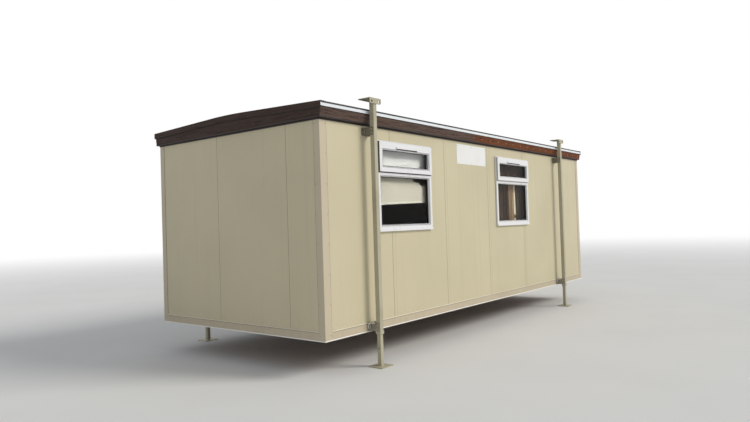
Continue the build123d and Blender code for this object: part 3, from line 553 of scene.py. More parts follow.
def circle(centre, axis, radius, sides, turn=0.0):
    """Points of a circle about an axis."""
    across = axis.orthogonal().normalized()
    other = axis.cross(across)
    angles = [turn + 2 * math.pi * step / sides for step in range(sides)]
    return [centre + (across * math.cos(a) + other * math.sin(a)) * radius for a in angles]


def grid(rows, columns):
    """Faces of a sheet whose points lie in rows, each with one point more than columns."""
    faces = []
    for row in range(rows):
        for column in range(columns):
            a = row * (columns + 1) + column
            faces.append((a, a + 1, a + columns + 2, a + columns + 1))
    return faces


class Shape:
    """Points and faces of one piece, gathered before its mesh is made."""

    def __init__(self):
        self.points = []
        self.faces = []

    def add(self, points, faces):
        """Add points and the faces between them."""
        start = len(self.points)
        self.points += [tuple(point) for point in points]
        self.faces += [[start + index for index in face] for face in faces]

    def skin(self, rings, closed=False):
        """Add a skin over rings of points, capped at both ends or closed into a loop."""
        sides = len(rings[0])
        total = len(rings)
        faces = []
        for ring in range(total if closed else total - 1):
            here = ring * sides
            there = (ring + 1) % total * sides
            for step in range(sides):
                turned = (step + 1) % sides
                faces.append((here + step, here + turned, there + turned, there + step))
        if not closed:
            faces.append(range(sides)[::-1])
            faces.append(range((total - 1) * sides, total * sides))
        self.add([point for ring in rings for point in ring], faces)

    def box(self, corner, opposite):
        """Add a box between two opposite corners."""
        xs, ys, zs = (sorted(pair) for pair in zip(corner, opposite))
        outline = [(ys[0], zs[0]), (ys[1], zs[0]), (ys[1], zs[1]), (ys[0], zs[1])]
        self.skin([[(x, y, z) for y, z in outline] for x in xs])

    def turned(self, base, axis, profile, sides, turn=0.0):
        """Add a profile of (radius, height) turned about an axis, closed at both ends."""
        base = Vector(base)
        axis = Vector(axis).normalized()
        self.skin([circle(base + axis * height, axis, radius, sides, turn)
                   for radius, height in profile])

    def bead(self, path, radius, sides=8, ripple=0.0, closed=False):
        """Add a rod along a path, rippled like a weld where ripple is over 0."""
        pitch = 0.004
        path = [Vector(point) for point in path]
        if closed:
            path.append(path[0])
        places = []
        for start, end in zip(path, path[1:]):
            steps = max(1, round((end - start).length / pitch)) if ripple else 1
            places += [start.lerp(end, step / steps) for step in range(steps)]
        if not closed:
            places.append(path[-1])
        last = len(places) - 1
        rings = []
        for index, place in enumerate(places):
            before = places[index - 1] if closed or index else place
            after = places[(index + 1) % len(places)] if closed or index < last else place
            size = radius * (1 + ripple * (1 if index % 2 else -1))
            rings.append(circle(place, (after - before).normalized(), size, sides))
        self.skin(rings, closed)

    def piece(self, name, finish, body=ROOT, smooth=False, bevel=0.0):
        """Make the mesh object, finished and riding on its body."""
        mesh = bpy.data.meshes.new(name)
        mesh.from_pydata(self.points, [], self.faces)
        mesh.validate()
        mesh.materials.append(MATERIALS[finish])
        obj = bpy.data.objects.new(name, mesh)
        bpy.context.scene.collection.objects.link(obj)
        if smooth:
            mesh.shade_smooth()
            mesh.set_sharp_from_angle(angle=math.radians(40))
        if bevel:
            edge = obj.modifiers.new("edges", "BEVEL")
            edge.width = bevel
            edge.segments = 2
            edge.limit_method = "ANGLE"
        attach(obj, body)
        return obj


class Wall:
    """One wall of the cabin, with places given along it, out from its face, and up."""

    def __init__(self, name):
        self.name = name
        self.long = name in ("front", "back")
        self.side = -1 if name in ("front", "left") else 1
        self.half = HALF_LENGTH if self.long else HALF_WIDTH
        self.clear = self.half - (CORNER_TRIM_SIDE if self.long else CORNER_TRIM_END)
        self.outward = (0, self.side, 0) if self.long else (self.side, 0, 0)

    def at(self, along, out, z):
        """Point at a place along the wall, out from its face, and up."""
        if self.long:
            return (along, self.side * (HALF_WIDTH + out), z)
        return (self.side * (HALF_LENGTH + out), along, z)


WALLS = [Wall(name) for name in ("front", "back", "left", "right")]
LONG_WALLS = WALLS[:2]


def spread(start, end, pitch):
    """Even positions from start to end, about a pitch apart."""
    count = max(1, round((end - start) / pitch))
    return [start + (end - start) * step / count for step in range(count + 1)]


def rows_across(reach, count):
    """Even positions from -reach to reach."""
    return [-reach + 2 * reach * row / count for row in range(count + 1)]


def runs_between(reach, stops):
    """Stretches from -reach to reach that keep clear of stops, each given by its two ends."""
    stops = sorted(stops)
    return zip([-reach] + [stop[1] for stop in stops], [stop[0] for stop in stops] + [reach])


def door_stops(wall, margin=0.0):
    """The door's stretch of the back wall, with a margin at each side."""
    return [(DOOR_LOW.x - margin, DOOR_HIGH.x + margin)] if wall.name == "back" else []


def rivet_profile(radius):
    """Domed head of a blind rivet."""
    return [(radius, 0.0), (radius * 0.96, radius * 0.22), (radius * 0.7, radius * 0.46),
            (radius * 0.3, radius * 0.56)]


def heights_clear(wall, along, low, high):
    """Stretches between two heights on a wall, clear of any window there."""
    for window_low, window_high in WINDOW_BOXES:
        on_wall = wall.long and window_low.y * wall.side > 0
        if on_wall and window_low.x < along < window_high.x:
            return [(low, window_low.z), (window_high.z, high)]
    return [(low, high)]


def add_joint_seals():
    """Seals set back in the joints between the wall panels, faded at the ends."""
    long_seals = Shape()
    end_seals = Shape()
    back = 0.0012
    deep = 0.0024
    half = 0.0017
    lap = 0.002
    for wall in WALLS:
        seals = long_seals if wall.long else end_seals
        first = -1 if wall.name == "front" else 1  # end where the row of panels starts
        for number in range(1, math.ceil(2 * wall.half / PANEL_MODULE)):
            along = first * (wall.half - number * PANEL_MODULE)
            for low, high in heights_clear(wall, along, WALL_LOW.z + lap, FASCIA_Z + lap):
                seals.box(wall.at(along - half, -back, low), wall.at(along + half, -deep, high))
    long_seals.piece("panel_joint_seals", "rubber_black")
    end_seals.piece("end_joint_seals", "joint_grey")


def add_trim_rivets():
    """Painted rivets along the base trim, dull ones up the corner trims."""
    rivets = Shape()
    corner_rivets = Shape()
    profile = rivet_profile(0.0045)
    pitch = 0.30
    inset = 0.030
    corner_inset = 0.012
    row_z = BASE_Z + BASE_TRIM_HEIGHT * 0.62
    for wall in WALLS:
        for along in spread(-wall.clear + inset, wall.clear - inset, pitch):
            rivets.turned(wall.at(along, TRIM_THICKNESS, row_z), wall.outward, profile, 10)
        for z in spread(BASE_Z + 0.06, FASCIA_Z - 0.06, pitch):
            for end in SIDES:
                place = wall.at(end * (wall.clear + corner_inset), TRIM_THICKNESS, z)
                corner_rivets.turned(place, wall.outward, profile, 10)
    rivets.piece("trim_rivets", "trim_steel", smooth=True)
    corner_rivets.piece("corner_rivets", "rivet_dull", smooth=True)


def fascia_slab(shape, wall, ends, heights, lifts):
    """Add a slab over a raking side fascia.

    It runs between two ends and two heights above the fascia's foot, and its back and its front
    are lifted from the fascia's face.
    """
    low, high = heights
    back, front = lifts
    shape.skin([[wall.at(along, FASCIA_FOOT + FASCIA_RAKE * rise + lift, FASCIA_Z + rise)
                 for rise, lift in ((high, back), (high, front), (low, front), (low, back))]
                for along in ends])


def add_fascia_fixings():
    """Capped nails in one row along the fascias, and cover strips over the board joints."""
    caps = Shape()
    strips = Shape()
    profile = rivet_profile(0.0072)
    middle = FASCIA_HEIGHT * 0.5
    half_strip = 0.019
    for wall in WALLS:
        if wall.long:
            reach = FASCIA_HIGH.x - 0.12
            pitch = 0.25
            rise = middle
            out = FASCIA_FOOT + FASCIA_RAKE * middle
            axis = (0, wall.side, -FASCIA_RAKE)
        else:
            reach = HALF_WIDTH - 0.10
            pitch = 0.30
            rise = middle * 0.8
            out = END_FASCIA_X - HALF_LENGTH
            axis = wall.outward
        for along in spread(-reach, reach, pitch):
            caps.turned(wall.at(along, out, FASCIA_Z + rise), axis, profile, 12)
    for wall in LONG_WALLS:
        for joint in (-FASCIA_HIGH.x / 3, FASCIA_HIGH.x / 3):
            fascia_slab(strips, wall, (joint - half_strip, joint + half_strip),
                        (0.0, FASCIA_HEIGHT), (0.0, 0.0022))
    caps.piece("fascia_nail_caps", "nail_cap", smooth=True)
    strips.piece("fascia_joint_strips", "fascia_long", bevel=0.0006)


def add_fascia_shade_strips():
    """Dark strips of painted shade under the fascias, and painted shade along their top and bottom
    edges.
    """
    dark = Shape()
    stand = 0.0065
    air = 0.0003
    reach = FASCIA_HIGH.x + 0.0015
    for wall in WALLS:
        dark.box(wall.at(-wall.half - stand, air, FASCIA_Z - STRIP_HEIGHT),
                 wall.at(wall.half + stand, stand, FASCIA_Z - air))
        if wall.long:
            for heights in ((-0.0025, 0.009), (FASCIA_HEIGHT - 0.0085, FASCIA_HEIGHT - air)):
                fascia_slab(dark, wall, (-reach, reach), heights, (-0.0020, 0.0020))
        else:
            end = HALF_WIDTH + FASCIA_FOOT - 0.001
            face = END_FASCIA_X - HALF_LENGTH
            dark.box(wall.at(-end, face - 0.0005, FASCIA_Z - 0.0025),
                     wall.at(end, face + 0.0018, FASCIA_Z + 0.006))
    dark.piece("fascia_shade_strips", "fascia_edge_shade")


def add_roof_edges():
    """Dark beads of painted shade under the verges, rolled edges along the eaves and caps on the
    eaves' ends.
    """
    bead = Shape()
    roll = Shape()
    caps = Shape()
    profile = [(-0.0040, 0.0), (0.0018, 0.0), (0.0022, -0.0020), (0.0022, -0.0145),
               (0.0014, -0.0170), (-0.0002, -0.0180), (-0.0006, -0.0165), (-0.0006, -0.0005)]
    roll_out = 0.0655
    roll_top = SHEET_LOW.z + 0.0030
    roll_end = SHEET_HIGH.x - 0.001
    cap_out = EAVES_HIGH.y - HALF_WIDTH
    for side in SIDES:
        bead.bead([(side * (VERGE_HIGH.x - 0.0045), y, roof_height(y) - 0.0655)
                   for y in rows_across(VERGE_HIGH.y - 0.004, 40)], 0.0040)
    for wall in LONG_WALLS:
        roll.skin([[wall.at(x, roll_out + out, roll_top + rise) for out, rise in profile]
                   for x in (-roll_end, roll_end)])
        for end in SIDES:
            caps.box(wall.at(end * (EAVES_HIGH.x - 0.004), cap_out + 0.0032, EAVES_LOW.z),
                     wall.at(end * (VERGE_HIGH.x - 0.0005), cap_out + 0.0048,
                             EAVES_HIGH.z - 0.0125))
    bead.piece("verge_shade_beads", "fascia_edge_shade", smooth=True)
    roll.piece("roof_edge_rolls", "edge_black")
    caps.piece("eaves_end_caps", "trim_white", bevel=0.0004)


def add_trim_seals():
    """Grey seals beside the corner trims and on the base trim, stopped at the door; they also stand
    in for the shadow lines along the trims' edges, a painted shadow.
    """
    seals = Shape()
    sunk = -0.0002
    out = 0.0016
    half = BASE_SEAL / 2
    for wall in WALLS:
        for end in SIDES:
            along = end * (wall.clear - half)
            seals.box(wall.at(along - half, sunk, BASE_TRIM_TOP),
                      wall.at(along + half, out, FASCIA_Z - STRIP_HEIGHT))
        for start, end in runs_between(wall.clear, door_stops(wall)):
            seals.box(wall.at(start, sunk, BASE_TRIM_TOP),
                      wall.at(end, out, BASE_TRIM_TOP + BASE_SEAL))
    seals.piece("trim_seals", "joint_grey")


def add_base_ridges():
    """Half-round ridge on the walls just above the base trim, stopped at legs and door."""
    ridge = Shape()
    radius = 0.0058
    leg_clear = 0.083
    steps = 6
    angles = [math.pi * (step / steps - 0.5) for step in range(steps + 1)]
    profile = [(radius * math.cos(a), radius + radius * math.sin(a)) for a in angles]
    low = BASE_TRIM_TOP + BASE_SEAL
    for wall in WALLS:
        stops = door_stops(wall, 0.004)
        if wall.long:
            for column in ("left", "right"):
                tube_low, tube_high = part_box(f"leg_tube_{wall.name}_{column}")
                middle = (tube_low.x + tube_high.x) / 2
                stops.append((middle - leg_clear, middle + leg_clear))
        for ends in runs_between(wall.clear - 0.002, stops):
            ridge.skin([[wall.at(along, 0.0002 + out, low + rise) for out, rise in profile]
                        for along in ends])
    # the ridges take the paler copy of the coating, a painted highlight
    ridge.piece("base_ridges", "ridge_steel_highlight", smooth=True)


def roof_height(y):
    """Height of the roof sheet's top face at a distance y from the middle."""
    slope = ROOF_RISE / HALF_WIDTH
    radius = RIDGE_ROUND / math.sin(math.atan(slope))
    edge_z = SHEET_LOW.z + 0.003 / math.cos(math.atan(slope))
    ridge = edge_z + slope * SHEET_HIGH.y
    if abs(y) >= RIDGE_ROUND:
        return ridge - slope * abs(y)
    crown = math.sqrt(radius ** 2 - y ** 2) - math.sqrt(radius ** 2 - RIDGE_ROUND ** 2)
    return ridge - slope * RIDGE_ROUND + crown


def add_roof_seams():
    """Lapped seams across the roof sheet, each a low folded rib, with screws along the eaves."""
    seams = Shape()
    screws = Shape()
    rise = 0.006
    foot = 0.001
    half = 0.014
    crown = half * 0.55
    for x in spread(-HALF_LENGTH + 0.03, HALF_LENGTH - 0.03, 1.0)[1:-1]:
        seams.skin([[(x + shift, y, roof_height(y) + lift)
                     for shift, lift in ((-half, -foot), (-crown, rise), (crown, rise),
                                         (half, -foot))]
                    for y in rows_across(HALF_WIDTH + 0.045, 48)])
    profile = [(0.009, 0.0), (0.009, 0.0012), (0.0055, 0.0016), (0.0055, 0.0050), (0.0045, 0.0058)]
    for x in spread(-HALF_LENGTH + 0.12, HALF_LENGTH - 0.12, 0.33):
        for side in SIDES:
            y = side * (HALF_WIDTH + 0.020)
            screws.turned((x, y, roof_height(y)), (0, 0, 1), profile, 6)
    seams.piece("roof_seams", "roof_membrane", smooth=True)
    screws.piece("roof_screws", "bolt_zinc", smooth=True)


def add_eaves_details():
    """Joint covers and rivets of the white eaves trims."""
    covers = Shape()
    rivets = Shape()
    out = EAVES_HIGH.y - HALF_WIDTH
    half = 0.030
    for wall in LONG_WALLS:
        for x in (-HALF_LENGTH / 3, HALF_LENGTH / 3):
            covers.box(wall.at(x - half, out - 0.0002, EAVES_LOW.z + 0.0005),
                       wall.at(x + half, out + 0.0012, EAVES_HIGH.z - 0.0035))
        for x in spread(EAVES_LOW.x + 0.08, EAVES_HIGH.x - 0.08, 0.40):
            rivets.turned(wall.at(x, out, (EAVES_LOW.z + EAVES_HIGH.z) / 2), wall.outward,
                          rivet_profile(0.0034), 8)
    covers.piece("eaves_joint_covers", "trim_white", bevel=0.0004)
    rivets.piece("eaves_rivets", "trim_white", smooth=True)


def grown(opening, amount):
    """An opening, given as middle, half width, low and high, made larger all round."""
    middle, half, low, high = opening
    return middle, half + amount, low - amount, high + amount


def rectangle(opening, y, amount=0.0):
    """Corners of an opening that is made larger all round."""
    middle, half, low, high = grown(opening, amount)
    return [(middle - half, y, low), (middle + half, y, low), (middle + half, y, high),
            (middle - half, y, high)]


def add_band(shape, inner, outer, back, front):
    """Add a flat ring between an inner and an outer opening, from back to front."""
    shape.skin([rectangle(inner, back), rectangle(inner, front), rectangle(outer, front),
                rectangle(outer, back)], closed=True)


def add_glazing(beads, seals, lines, opening, face, side):
    """Sloping glazing bead round an opening, a rubber seal on the glass and a line at the edge."""
    glass = face - side * GLASS_RECESS
    foot = -0.011
    inner = foot - 0.007
    beads.skin([
        rectangle(opening, face - side * 0.0005),
        rectangle(opening, face - side * 0.0005, -0.003),
        rectangle(opening, glass + side * 0.0045, foot),
        rectangle(opening, glass + side * 0.0006, foot),
        rectangle(opening, glass + side * 0.0006),
    ], closed=True)
    seals.skin([
        rectangle(opening, glass + side * 0.0004, foot),
        rectangle(opening, glass + side * 0.0038, foot),
        rectangle(opening, glass + side * 0.0014, inner),
        rectangle(opening, glass + side * 0.0004, inner),
    ], closed=True)
    add_band(lines, grown(opening, -0.0002), grown(opening, 0.0040),
             face + side * 0.0001, face + side * 0.0005)


def add_mitres(shape, opening, depth, face, side):
    """Thin welded lines across the corners of a frame, from its outer edge to a depth."""
    middle, half, low, high = opening
    start = 0.002
    end = depth - 0.002
    for side_x in SIDES:
        for edge, towards in ((low, 1), (high, -1)):
            x0, z0 = middle + side_x * (half - start), edge + towards * start
            x1, z1 = middle + side_x * (half - end), edge + towards * end
            across = Vector((z1 - z0, 0, x0 - x1)).normalized() * 0.0007
            shape.skin([[(x + across.x * sign, y, z + across.z * sign)
                         for x, z, sign in ((x0, z0, -1), (x1, z1, -1), (x1, z1, 1), (x0, z0, 1))]
                        for y in (face + side * 0.0001, face + side * 0.0004)])


def add_window(number, box):
    """Beads, gaskets, seals, vent slots, mitre lines and sealant of one window."""
    low, high = box
    side = -1 if low.y < 0 else 1
    middle = (low.x + high.x) / 2
    base = low.z
    half = WINDOW_WIDTH / 2
    top = base + WINDOW_HEIGHT
    sash_half = half - SASH_MARGIN
    sash_low = base + SASH_LOW
    sash_top = top - SASH_MARGIN
    frame_opening = (middle, half, base, top)
    sash_opening = (middle, sash_half, sash_low, sash_top)
    wall = side * HALF_WIDTH
    face = wall + side * WINDOW_PROUD
    sash_face = face + side * SASH_PROUD
    painted_shade = number == 1  # painted shade: its gap, gaskets and sash sides are darker than those of the others

    beads = Shape()
    seals = Shape()
    lines = Shape()
    wraps = Shape()
    lower = (middle, half - FRAME_FACE, base + SILL_FACE, base + TRANSOM_LOW)
    upper = (middle, sash_half - SASH_FACE, sash_low + SASH_FACE, sash_top - SASH_HEAD_FACE)
    add_glazing(beads, seals, lines, lower, face, side)
    add_glazing(beads, seals, lines, upper, sash_face, side)
    gap_outline = (middle, sash_half + 0.0045, sash_low - 0.010, sash_top + 0.002)
    # painted shade: a dark ring in the gap round the first window's sash
    add_band(seals if painted_shade else wraps, grown(sash_opening, -0.006), gap_outline,
             face + side * 0.0003, face + side * 0.0022)
    add_band(wraps, grown(sash_opening, 0.0002), grown(sash_opening, 0.0012),
             face + side * 0.0030, face + side * 0.0190)
    beads.piece(f"window_{number}_beads", "window_white")
    # painted shade on the first window's bead gaskets and sash sides
    lines.piece(f"window_{number}_bead_gaskets", "gasket_shade_grey" if painted_shade else "gasket_pale")
    wraps.piece(f"window_{number}_sash_wraps", "sash_side_shade" if painted_shade else "gasket_pale")
    seals.piece(f"window_{number}_seals", "rubber_black")

    vent = Shape()
    vent_half = 0.205
    slot_half = 0.008
    hood_low = sash_top - 0.068
    for x in spread(middle - vent_half, middle + vent_half, 0.0205):
        vent.box((x - slot_half, sash_face + side * 0.0004, hood_low - 0.0105),
                 (x + slot_half, sash_face + side * 0.0030, hood_low - 0.0005))
    vent.piece(f"window_{number}_vent_slots", "rubber_black")

    mitres = Shape()
    add_mitres(mitres, frame_opening, SASH_MARGIN, face, side)
    add_mitres(mitres, sash_opening, SASH_FACE, sash_face, side)
    mitres.piece(f"window_{number}_mitres", "sealant_white")

    sealant = Shape()
    sealant.bead(rectangle(frame_opening, wall + side * 0.0015, 0.0005), 0.0032, closed=True)
    sealant.piece(f"window_{number}_sealant", "sealant_white", smooth=True)


def cloth_piece(name, finish, points, faces, thickness):
    """Make a thin smooth sheet of cloth."""
    shape = Shape()
    shape.add(points, faces)
    sheet = shape.piece(name, finish, smooth=True)
    thick = sheet.modifiers.new("thickness", "SOLIDIFY")
    thick.thickness = thickness
    thick.offset = 0.0
    return sheet


BLIND_SLOPE = 0.036  # the crooked blind hangs this much higher at its right edge, per metre
BLIND_SAG = 0.018  # how far its left edge hangs below the plain solid
HEM_HEIGHT = 0.026
TORN_TOP = 2.225
TORN_EDGE = (
    (0.000, 2.078),
    (0.040, 2.054),
    (0.128, 2.050),
    (0.140, 2.090),
    (0.200, 2.086),
    (0.215, 2.102),
    (0.262, 2.096),
    (0.285, 2.130),
    (0.300, TORN_TOP),
)  # distance from the blind's right edge, and height above which the cloth is gone


def is_torn(x, z, right_edge):
    """Whether the blind's cloth is missing at a place."""
    right = right_edge - x
    if z > TORN_TOP or right > TORN_EDGE[-1][0]:
        return False
    for (near, low_z), (far, high_z) in zip(TORN_EDGE, TORN_EDGE[1:]):
        if right <= far:
            edge = low_z + (high_z - low_z) * (right - near) / (far - near)
            return z > edge + 0.006 * field.noise(Vector((x * 60, 0.0, z * 60)))
    return False


def add_blind():
    """Crooked roller blind with a torn place near its right edge, and its hem bar."""
    low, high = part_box("window_blind")
    middle_y = (low.y + high.y) / 2
    columns = 110
    rows = 84
    top = high.z - 0.002
    width = high.x - low.x

    def bottom(x):
        """Lower edge of the cloth at x."""
        return low.z - BLIND_SAG + BLIND_SLOPE * (x - low.x)

    points = []
    for row in range(rows + 1):
        down = row / rows
        for column in range(columns + 1):
            x = low.x + width * column / columns
            z = top + (bottom(x) - top) * down
            curl = 0.010 * (column / columns - 0.5) ** 2 * 4 * down
            wave = 0.0035 * down * math.sin(7.3 * x + 2.1 * z) + 0.0015 * math.sin(19.0 * x)
            points.append((x, middle_y + wave * 0.6 - curl * 0.5, z))
    faces = []
    for face in grid(rows, columns):
        centre_x, _, centre_z = (sum(points[index][axis] for index in face) / 4
                                 for axis in range(3))
        if not is_torn(centre_x, centre_z, high.x):
            faces.append(face)
    blind = cloth_piece("blind_cloth", "blind_cloth", points, faces, 0.0008)
    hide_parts("window_blind")

    hem = Shape()
    steps = 24
    front = middle_y - 0.0065
    back = middle_y + 0.0045
    stations = [low.x + width * step / steps for step in range(steps + 1)]
    hem.skin([[(x, front, bottom(x)), (x, back, bottom(x)), (x, back, bottom(x) + HEM_HEIGHT),
               (x, front, bottom(x) + HEM_HEIGHT)] for x in stations])
    bar = hem.piece("blind_hem_bar", "blind_hem")


PARTING_TOP = WALL_LOW.z + 1.75
PARTING_RUN = 0.10


def curtain(name, span, heights, finish, fold, seed, middle_y, depth, parting=(0.0, 0.0)):
    """One gathered curtain over a span, between two heights, with uneven folds that open downwards.

    A fold is about as wide as given. The two edges move by the two partings from the window's
    transom down.
    """
    start, end = span
    top, bottom = heights
    generator = random.Random(seed)
    count = max(2, round((end - start) / fold))
    edges = [0.0]
    for _ in range(count):
        edges.append(edges[-1] + generator.uniform(0.7, 1.35))
    edges = [value / edges[-1] for value in edges]
    sizes = [generator.uniform(0.7, 1.15) for _ in range(count)]
    leans = [generator.uniform(-0.006, 0.006) for _ in range(count)]
    fine = 14
    rows = 60
    points = []
    for row in range(rows + 1):
        down = row / rows
        z = top + (bottom - top) * down
        opening = 0.45 + 0.55 * min(1.0, down * 2.2)
        parted = min(1.0, max(0.0, (PARTING_TOP - z) / PARTING_RUN))
        parted = parted * parted * (3 - 2 * parted)
        left_edge = start + parting[0] * parted
        right_edge = end + parting[1] * parted
        for station in range(count * fine + 1):
            number = min(station // fine, count - 1)
            part = (station - number * fine) / fine
            width = edges[number + 1] - edges[number]
            swing = math.sin(2 * math.pi * part)
            skew = 0.14 * math.sin(4 * math.pi * part) * width
            x = left_edge + (right_edge - left_edge) * (edges[number] + width * part + skew * 0.35)
            drift = 0.002 * math.sin(5 * down + number)
            points.append((x + leans[number] * swing * down,
                           middle_y + depth * sizes[number] * opening * swing + drift, z))
    faces = grid(rows, count * fine)
    sheet = cloth_piece(name, finish, points, faces, 0.0012)
    return sheet


def add_curtains():
    """Two brown curtains of unequal width, a pale lining between them and a knotted tie."""
    low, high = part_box("window_curtains")
    middle_y = (low.y + high.y) / 2
    meet = (low.x + high.x) / 2 + 0.300
    half_gap = 0.034
    overlap = 0.003
    inset = 0.004
    fold = 0.062
    depth = 0.0105
    heights = (high.z, low.z)
    left = curtain("curtain_left", (low.x + inset, meet + overlap), heights, "curtain_cloth",
                   fold, 11, middle_y - 0.0015, depth, (0.0, -half_gap - overlap))
    curtain("curtain_right", (meet - overlap, high.x - inset), heights, "curtain_cloth",
            fold, 23, middle_y - 0.0005, depth, (half_gap + overlap, 0.0))
    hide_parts("window_curtains")
    lining = half_gap + 0.012
    curtain("curtain_lining", (meet - lining, meet + lining), (high.z - 0.001, low.z + 0.01),
            "lining_cloth", 0.16, 5, middle_y + 0.0085, 0.0012)

    tie = Shape()
    tie_z = BASE_Z + 1.262
    half = 0.055
    strand = 0.014
    steps = 8
    for level in (-1, 0, 1):
        path = []
        for step in range(steps + 1):
            along = step / steps
            sag = 0.010 * math.sin(math.pi * along)
            path.append((meet - half + 2 * half * along, middle_y - 0.015,
                         tie_z + strand * level - sag))
        tie.bead(path, 0.007)
    tie.bead([(meet - 0.004, middle_y - 0.019, tie_z + 0.016),
              (meet + 0.003, middle_y - 0.022, tie_z - 0.004),
              (meet - 0.002, middle_y - 0.019, tie_z - 0.022)], 0.010, 10)
    tie.piece("curtain_tie", "curtain_cloth", smooth=True)


WASHER = [(0.0125, 0.0), (0.0125, 0.0018), (0.0122, 0.0022)]
BOLT_HEAD = [(0.0096, 0.0020), (0.0104, 0.0030), (0.0104, 0.0088), (0.0094, 0.0100)]
BOLT_TIP = [(0.0060, 0.0095), (0.0060, 0.0108), (0.0045, 0.0114)]
BRACKET_HEIGHTS = (
    (2.245, 0.0),
    (0.0588, TRIM_THICKNESS),
)  # middle above the cabin's lowest edge, and thickness of the trim behind the plate
PLATE_BOLT_SHIFT = 0.059
WELD_RIPPLE = 0.16
BAR_RADIUS = 0.0095
ELBOW_BALL = [(0.0030, -0.0092), (0.0068, -0.0068), (0.0090, -0.0036), (0.0097, 0.0),
              (0.0090, 0.0036), (0.0068, 0.0068), (0.0030, 0.0092)]


def add_bolt(shape, place, axis, turn):
    """Washer, hexagon head at a turn, and tip, seated at a place."""
    shape.turned(place, axis, WASHER, 20)
    shape.turned(place, axis, BOLT_HEAD, 6, turn)
    shape.turned(place, axis, BOLT_TIP, 12)


def square(x, y, half, z):
    """Corners of a level square."""
    return [(x - half, y - half, z), (x + half, y - half, z), (x + half, y + half, z),
            (x - half, y + half, z)]


def add_bracket_bars(shape, x, leg_front, bar_y):
    """Bars rolled out of each cheek of a lower bracket towards the leg, and a ring beside them."""
    bar_z = BASE_Z + 0.0958
    for shift in SIDES:
        elbow = Vector((x + shift * (TUBE_HALF + CHEEK_THICKNESS + BAR_RADIUS), bar_y, bar_z))
        for end in (Vector((x + shift * 0.080, bar_y, bar_z)),
                    Vector((elbow.x, leg_front, bar_z + 0.009))):
            run = (end - elbow).length
            profile = [(BAR_RADIUS, 0.0), (BAR_RADIUS, run - 0.0012), (0.0080, run)]
            shape.turned(elbow, end - elbow, profile, 16)
        shape.turned(elbow, (0, 0, 1), ELBOW_BALL, 16)
    steps = 20
    angles = [2 * math.pi * step / steps for step in range(steps)]
    shape.bead([(x - 0.066 + 0.019 * math.cos(a), bar_y, bar_z - 0.030 + 0.022 * math.sin(a))
                for a in angles], 0.0055, 10, closed=True)


def add_leg_details():
    """Bolts and bars of the leg brackets, and the welds of heads, collars and feet."""
    bolts = Shape()
    welds = Shape()
    rolls = Shape()
    generator = random.Random(4)
    weld_out = TUBE_HALF + 0.001
    for wall in LONG_WALLS:
        for column in ("left", "right"):
            low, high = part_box(f"leg_tube_{wall.name}_{column}")
            x = (low.x + high.x) / 2
            y = (low.y + high.y) / 2
            side = wall.side
            for middle, trim in BRACKET_HEIGHTS:
                z = BASE_Z + middle
                plate = trim + BRACKET_PLATE
                for shift in (-PLATE_BOLT_SHIFT, PLATE_BOLT_SHIFT):
                    turn = generator.uniform(0, 1)
                    if not trim or shift > 0:
                        add_bolt(bolts, wall.at(x + shift, plate, z - 0.006), wall.outward, turn)
                for shift in SIDES:
                    turn = generator.uniform(0, 1)
                    cheek = x + shift * (TUBE_HALF + CHEEK_THICKNESS)
                    for rise in (0.018, -0.018):
                        add_bolt(bolts, (cheek, y - side * 0.004, z + rise), (shift, 0, 0), turn)
                    welds.bead([wall.at(cheek, plate + 0.001, z - 0.036),
                                wall.at(cheek, plate + 0.001, z + 0.036)],
                               0.0035, ripple=WELD_RIPPLE)
            bar_y = wall.at(x, TRIM_THICKNESS + BRACKET_PLATE + 0.0085, 0)[1]
            add_bracket_bars(rolls, x, y - side * (TUBE_HALF + 0.004), bar_y)
            head = square(x, y, weld_out, high.z - 0.002)
            if side < 0:
                head = [head[0], head[3], head[2], head[1]]
            else:
                head = [head[3], head[0], head[1], head[2]]
            welds.bead(head, 0.004, ripple=WELD_RIPPLE)
            welds.bead(square(x, y, weld_out, low.z + COLLAR_HEIGHT), 0.0036,
                       ripple=WELD_RIPPLE, closed=True)
            foot = Shape()
            foot.bead(square(x, y, 0.0255, 0.0115), 0.0032, ripple=WELD_RIPPLE, closed=True)
            foot.piece(f"foot_weld_{wall.name}_{column}", "leg_paint",
                       f"foot_{wall.name}_{column}", smooth=True)
    rolls.piece("bracket_rolls", "roll_zinc_highlight", smooth=True)
    bolts.piece("bracket_bolts", "bolt_zinc", smooth=True)
    welds.piece("leg_welds", "leg_paint", smooth=True)


def add_sign_screws():
    """Capped screws in the corners of the plain sign board and at the middle of its long edges."""
    low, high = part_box("sign_plate")
    screws = Shape()
    inset = 0.022
    profile = [(0.0060, 0.0), (0.0058, 0.0012), (0.0042, 0.0024), (0.0016, 0.0029)]
    for x in (low.x + inset, (low.x + high.x) / 2, high.x - inset):
        for z in (low.z + inset, high.z - inset):
            screws.turned((x, low.y, z), (0, -1, 0), profile, 14)
    screws.piece("sign_screws", "bolt_zinc", smooth=True)


def add_hinges(leaf_low, leaf_high, out):
    """Three butt hinges with screws, on the door's left edge."""
    hinges = Shape()
    pin_x = leaf_low.x - 0.0015
    half = 0.048
    knuckle = [(0.0070, 0.0), (0.0078, 0.0008), (0.0078, 0.0312), (0.0070, 0.0320)]
    screw = [(0.0042, 0.0), (0.0038, 0.0009), (0.0016, 0.0013)]
    for z in (leaf_low.z + 0.22, (leaf_low.z + leaf_high.z) / 2, leaf_high.z - 0.22):
        for side in SIDES:
            hinges.box((pin_x + side * 0.034, out, z - half),
                       (pin_x + side * 0.006, out + 0.003, z + half))
            for rise in (-0.034, 0.0, 0.034):
                hinges.turned((pin_x + side * 0.020, out + 0.003, z + rise), (0, 1, 0), screw, 10)
        for step in range(3):
            hinges.turned((pin_x, out + 0.0078, z - 0.050 + 0.034 * step), (0, 0, 1), knuckle, 16)
    hinges.piece("door_hinges", "bolt_zinc", smooth=True, bevel=0.0006)


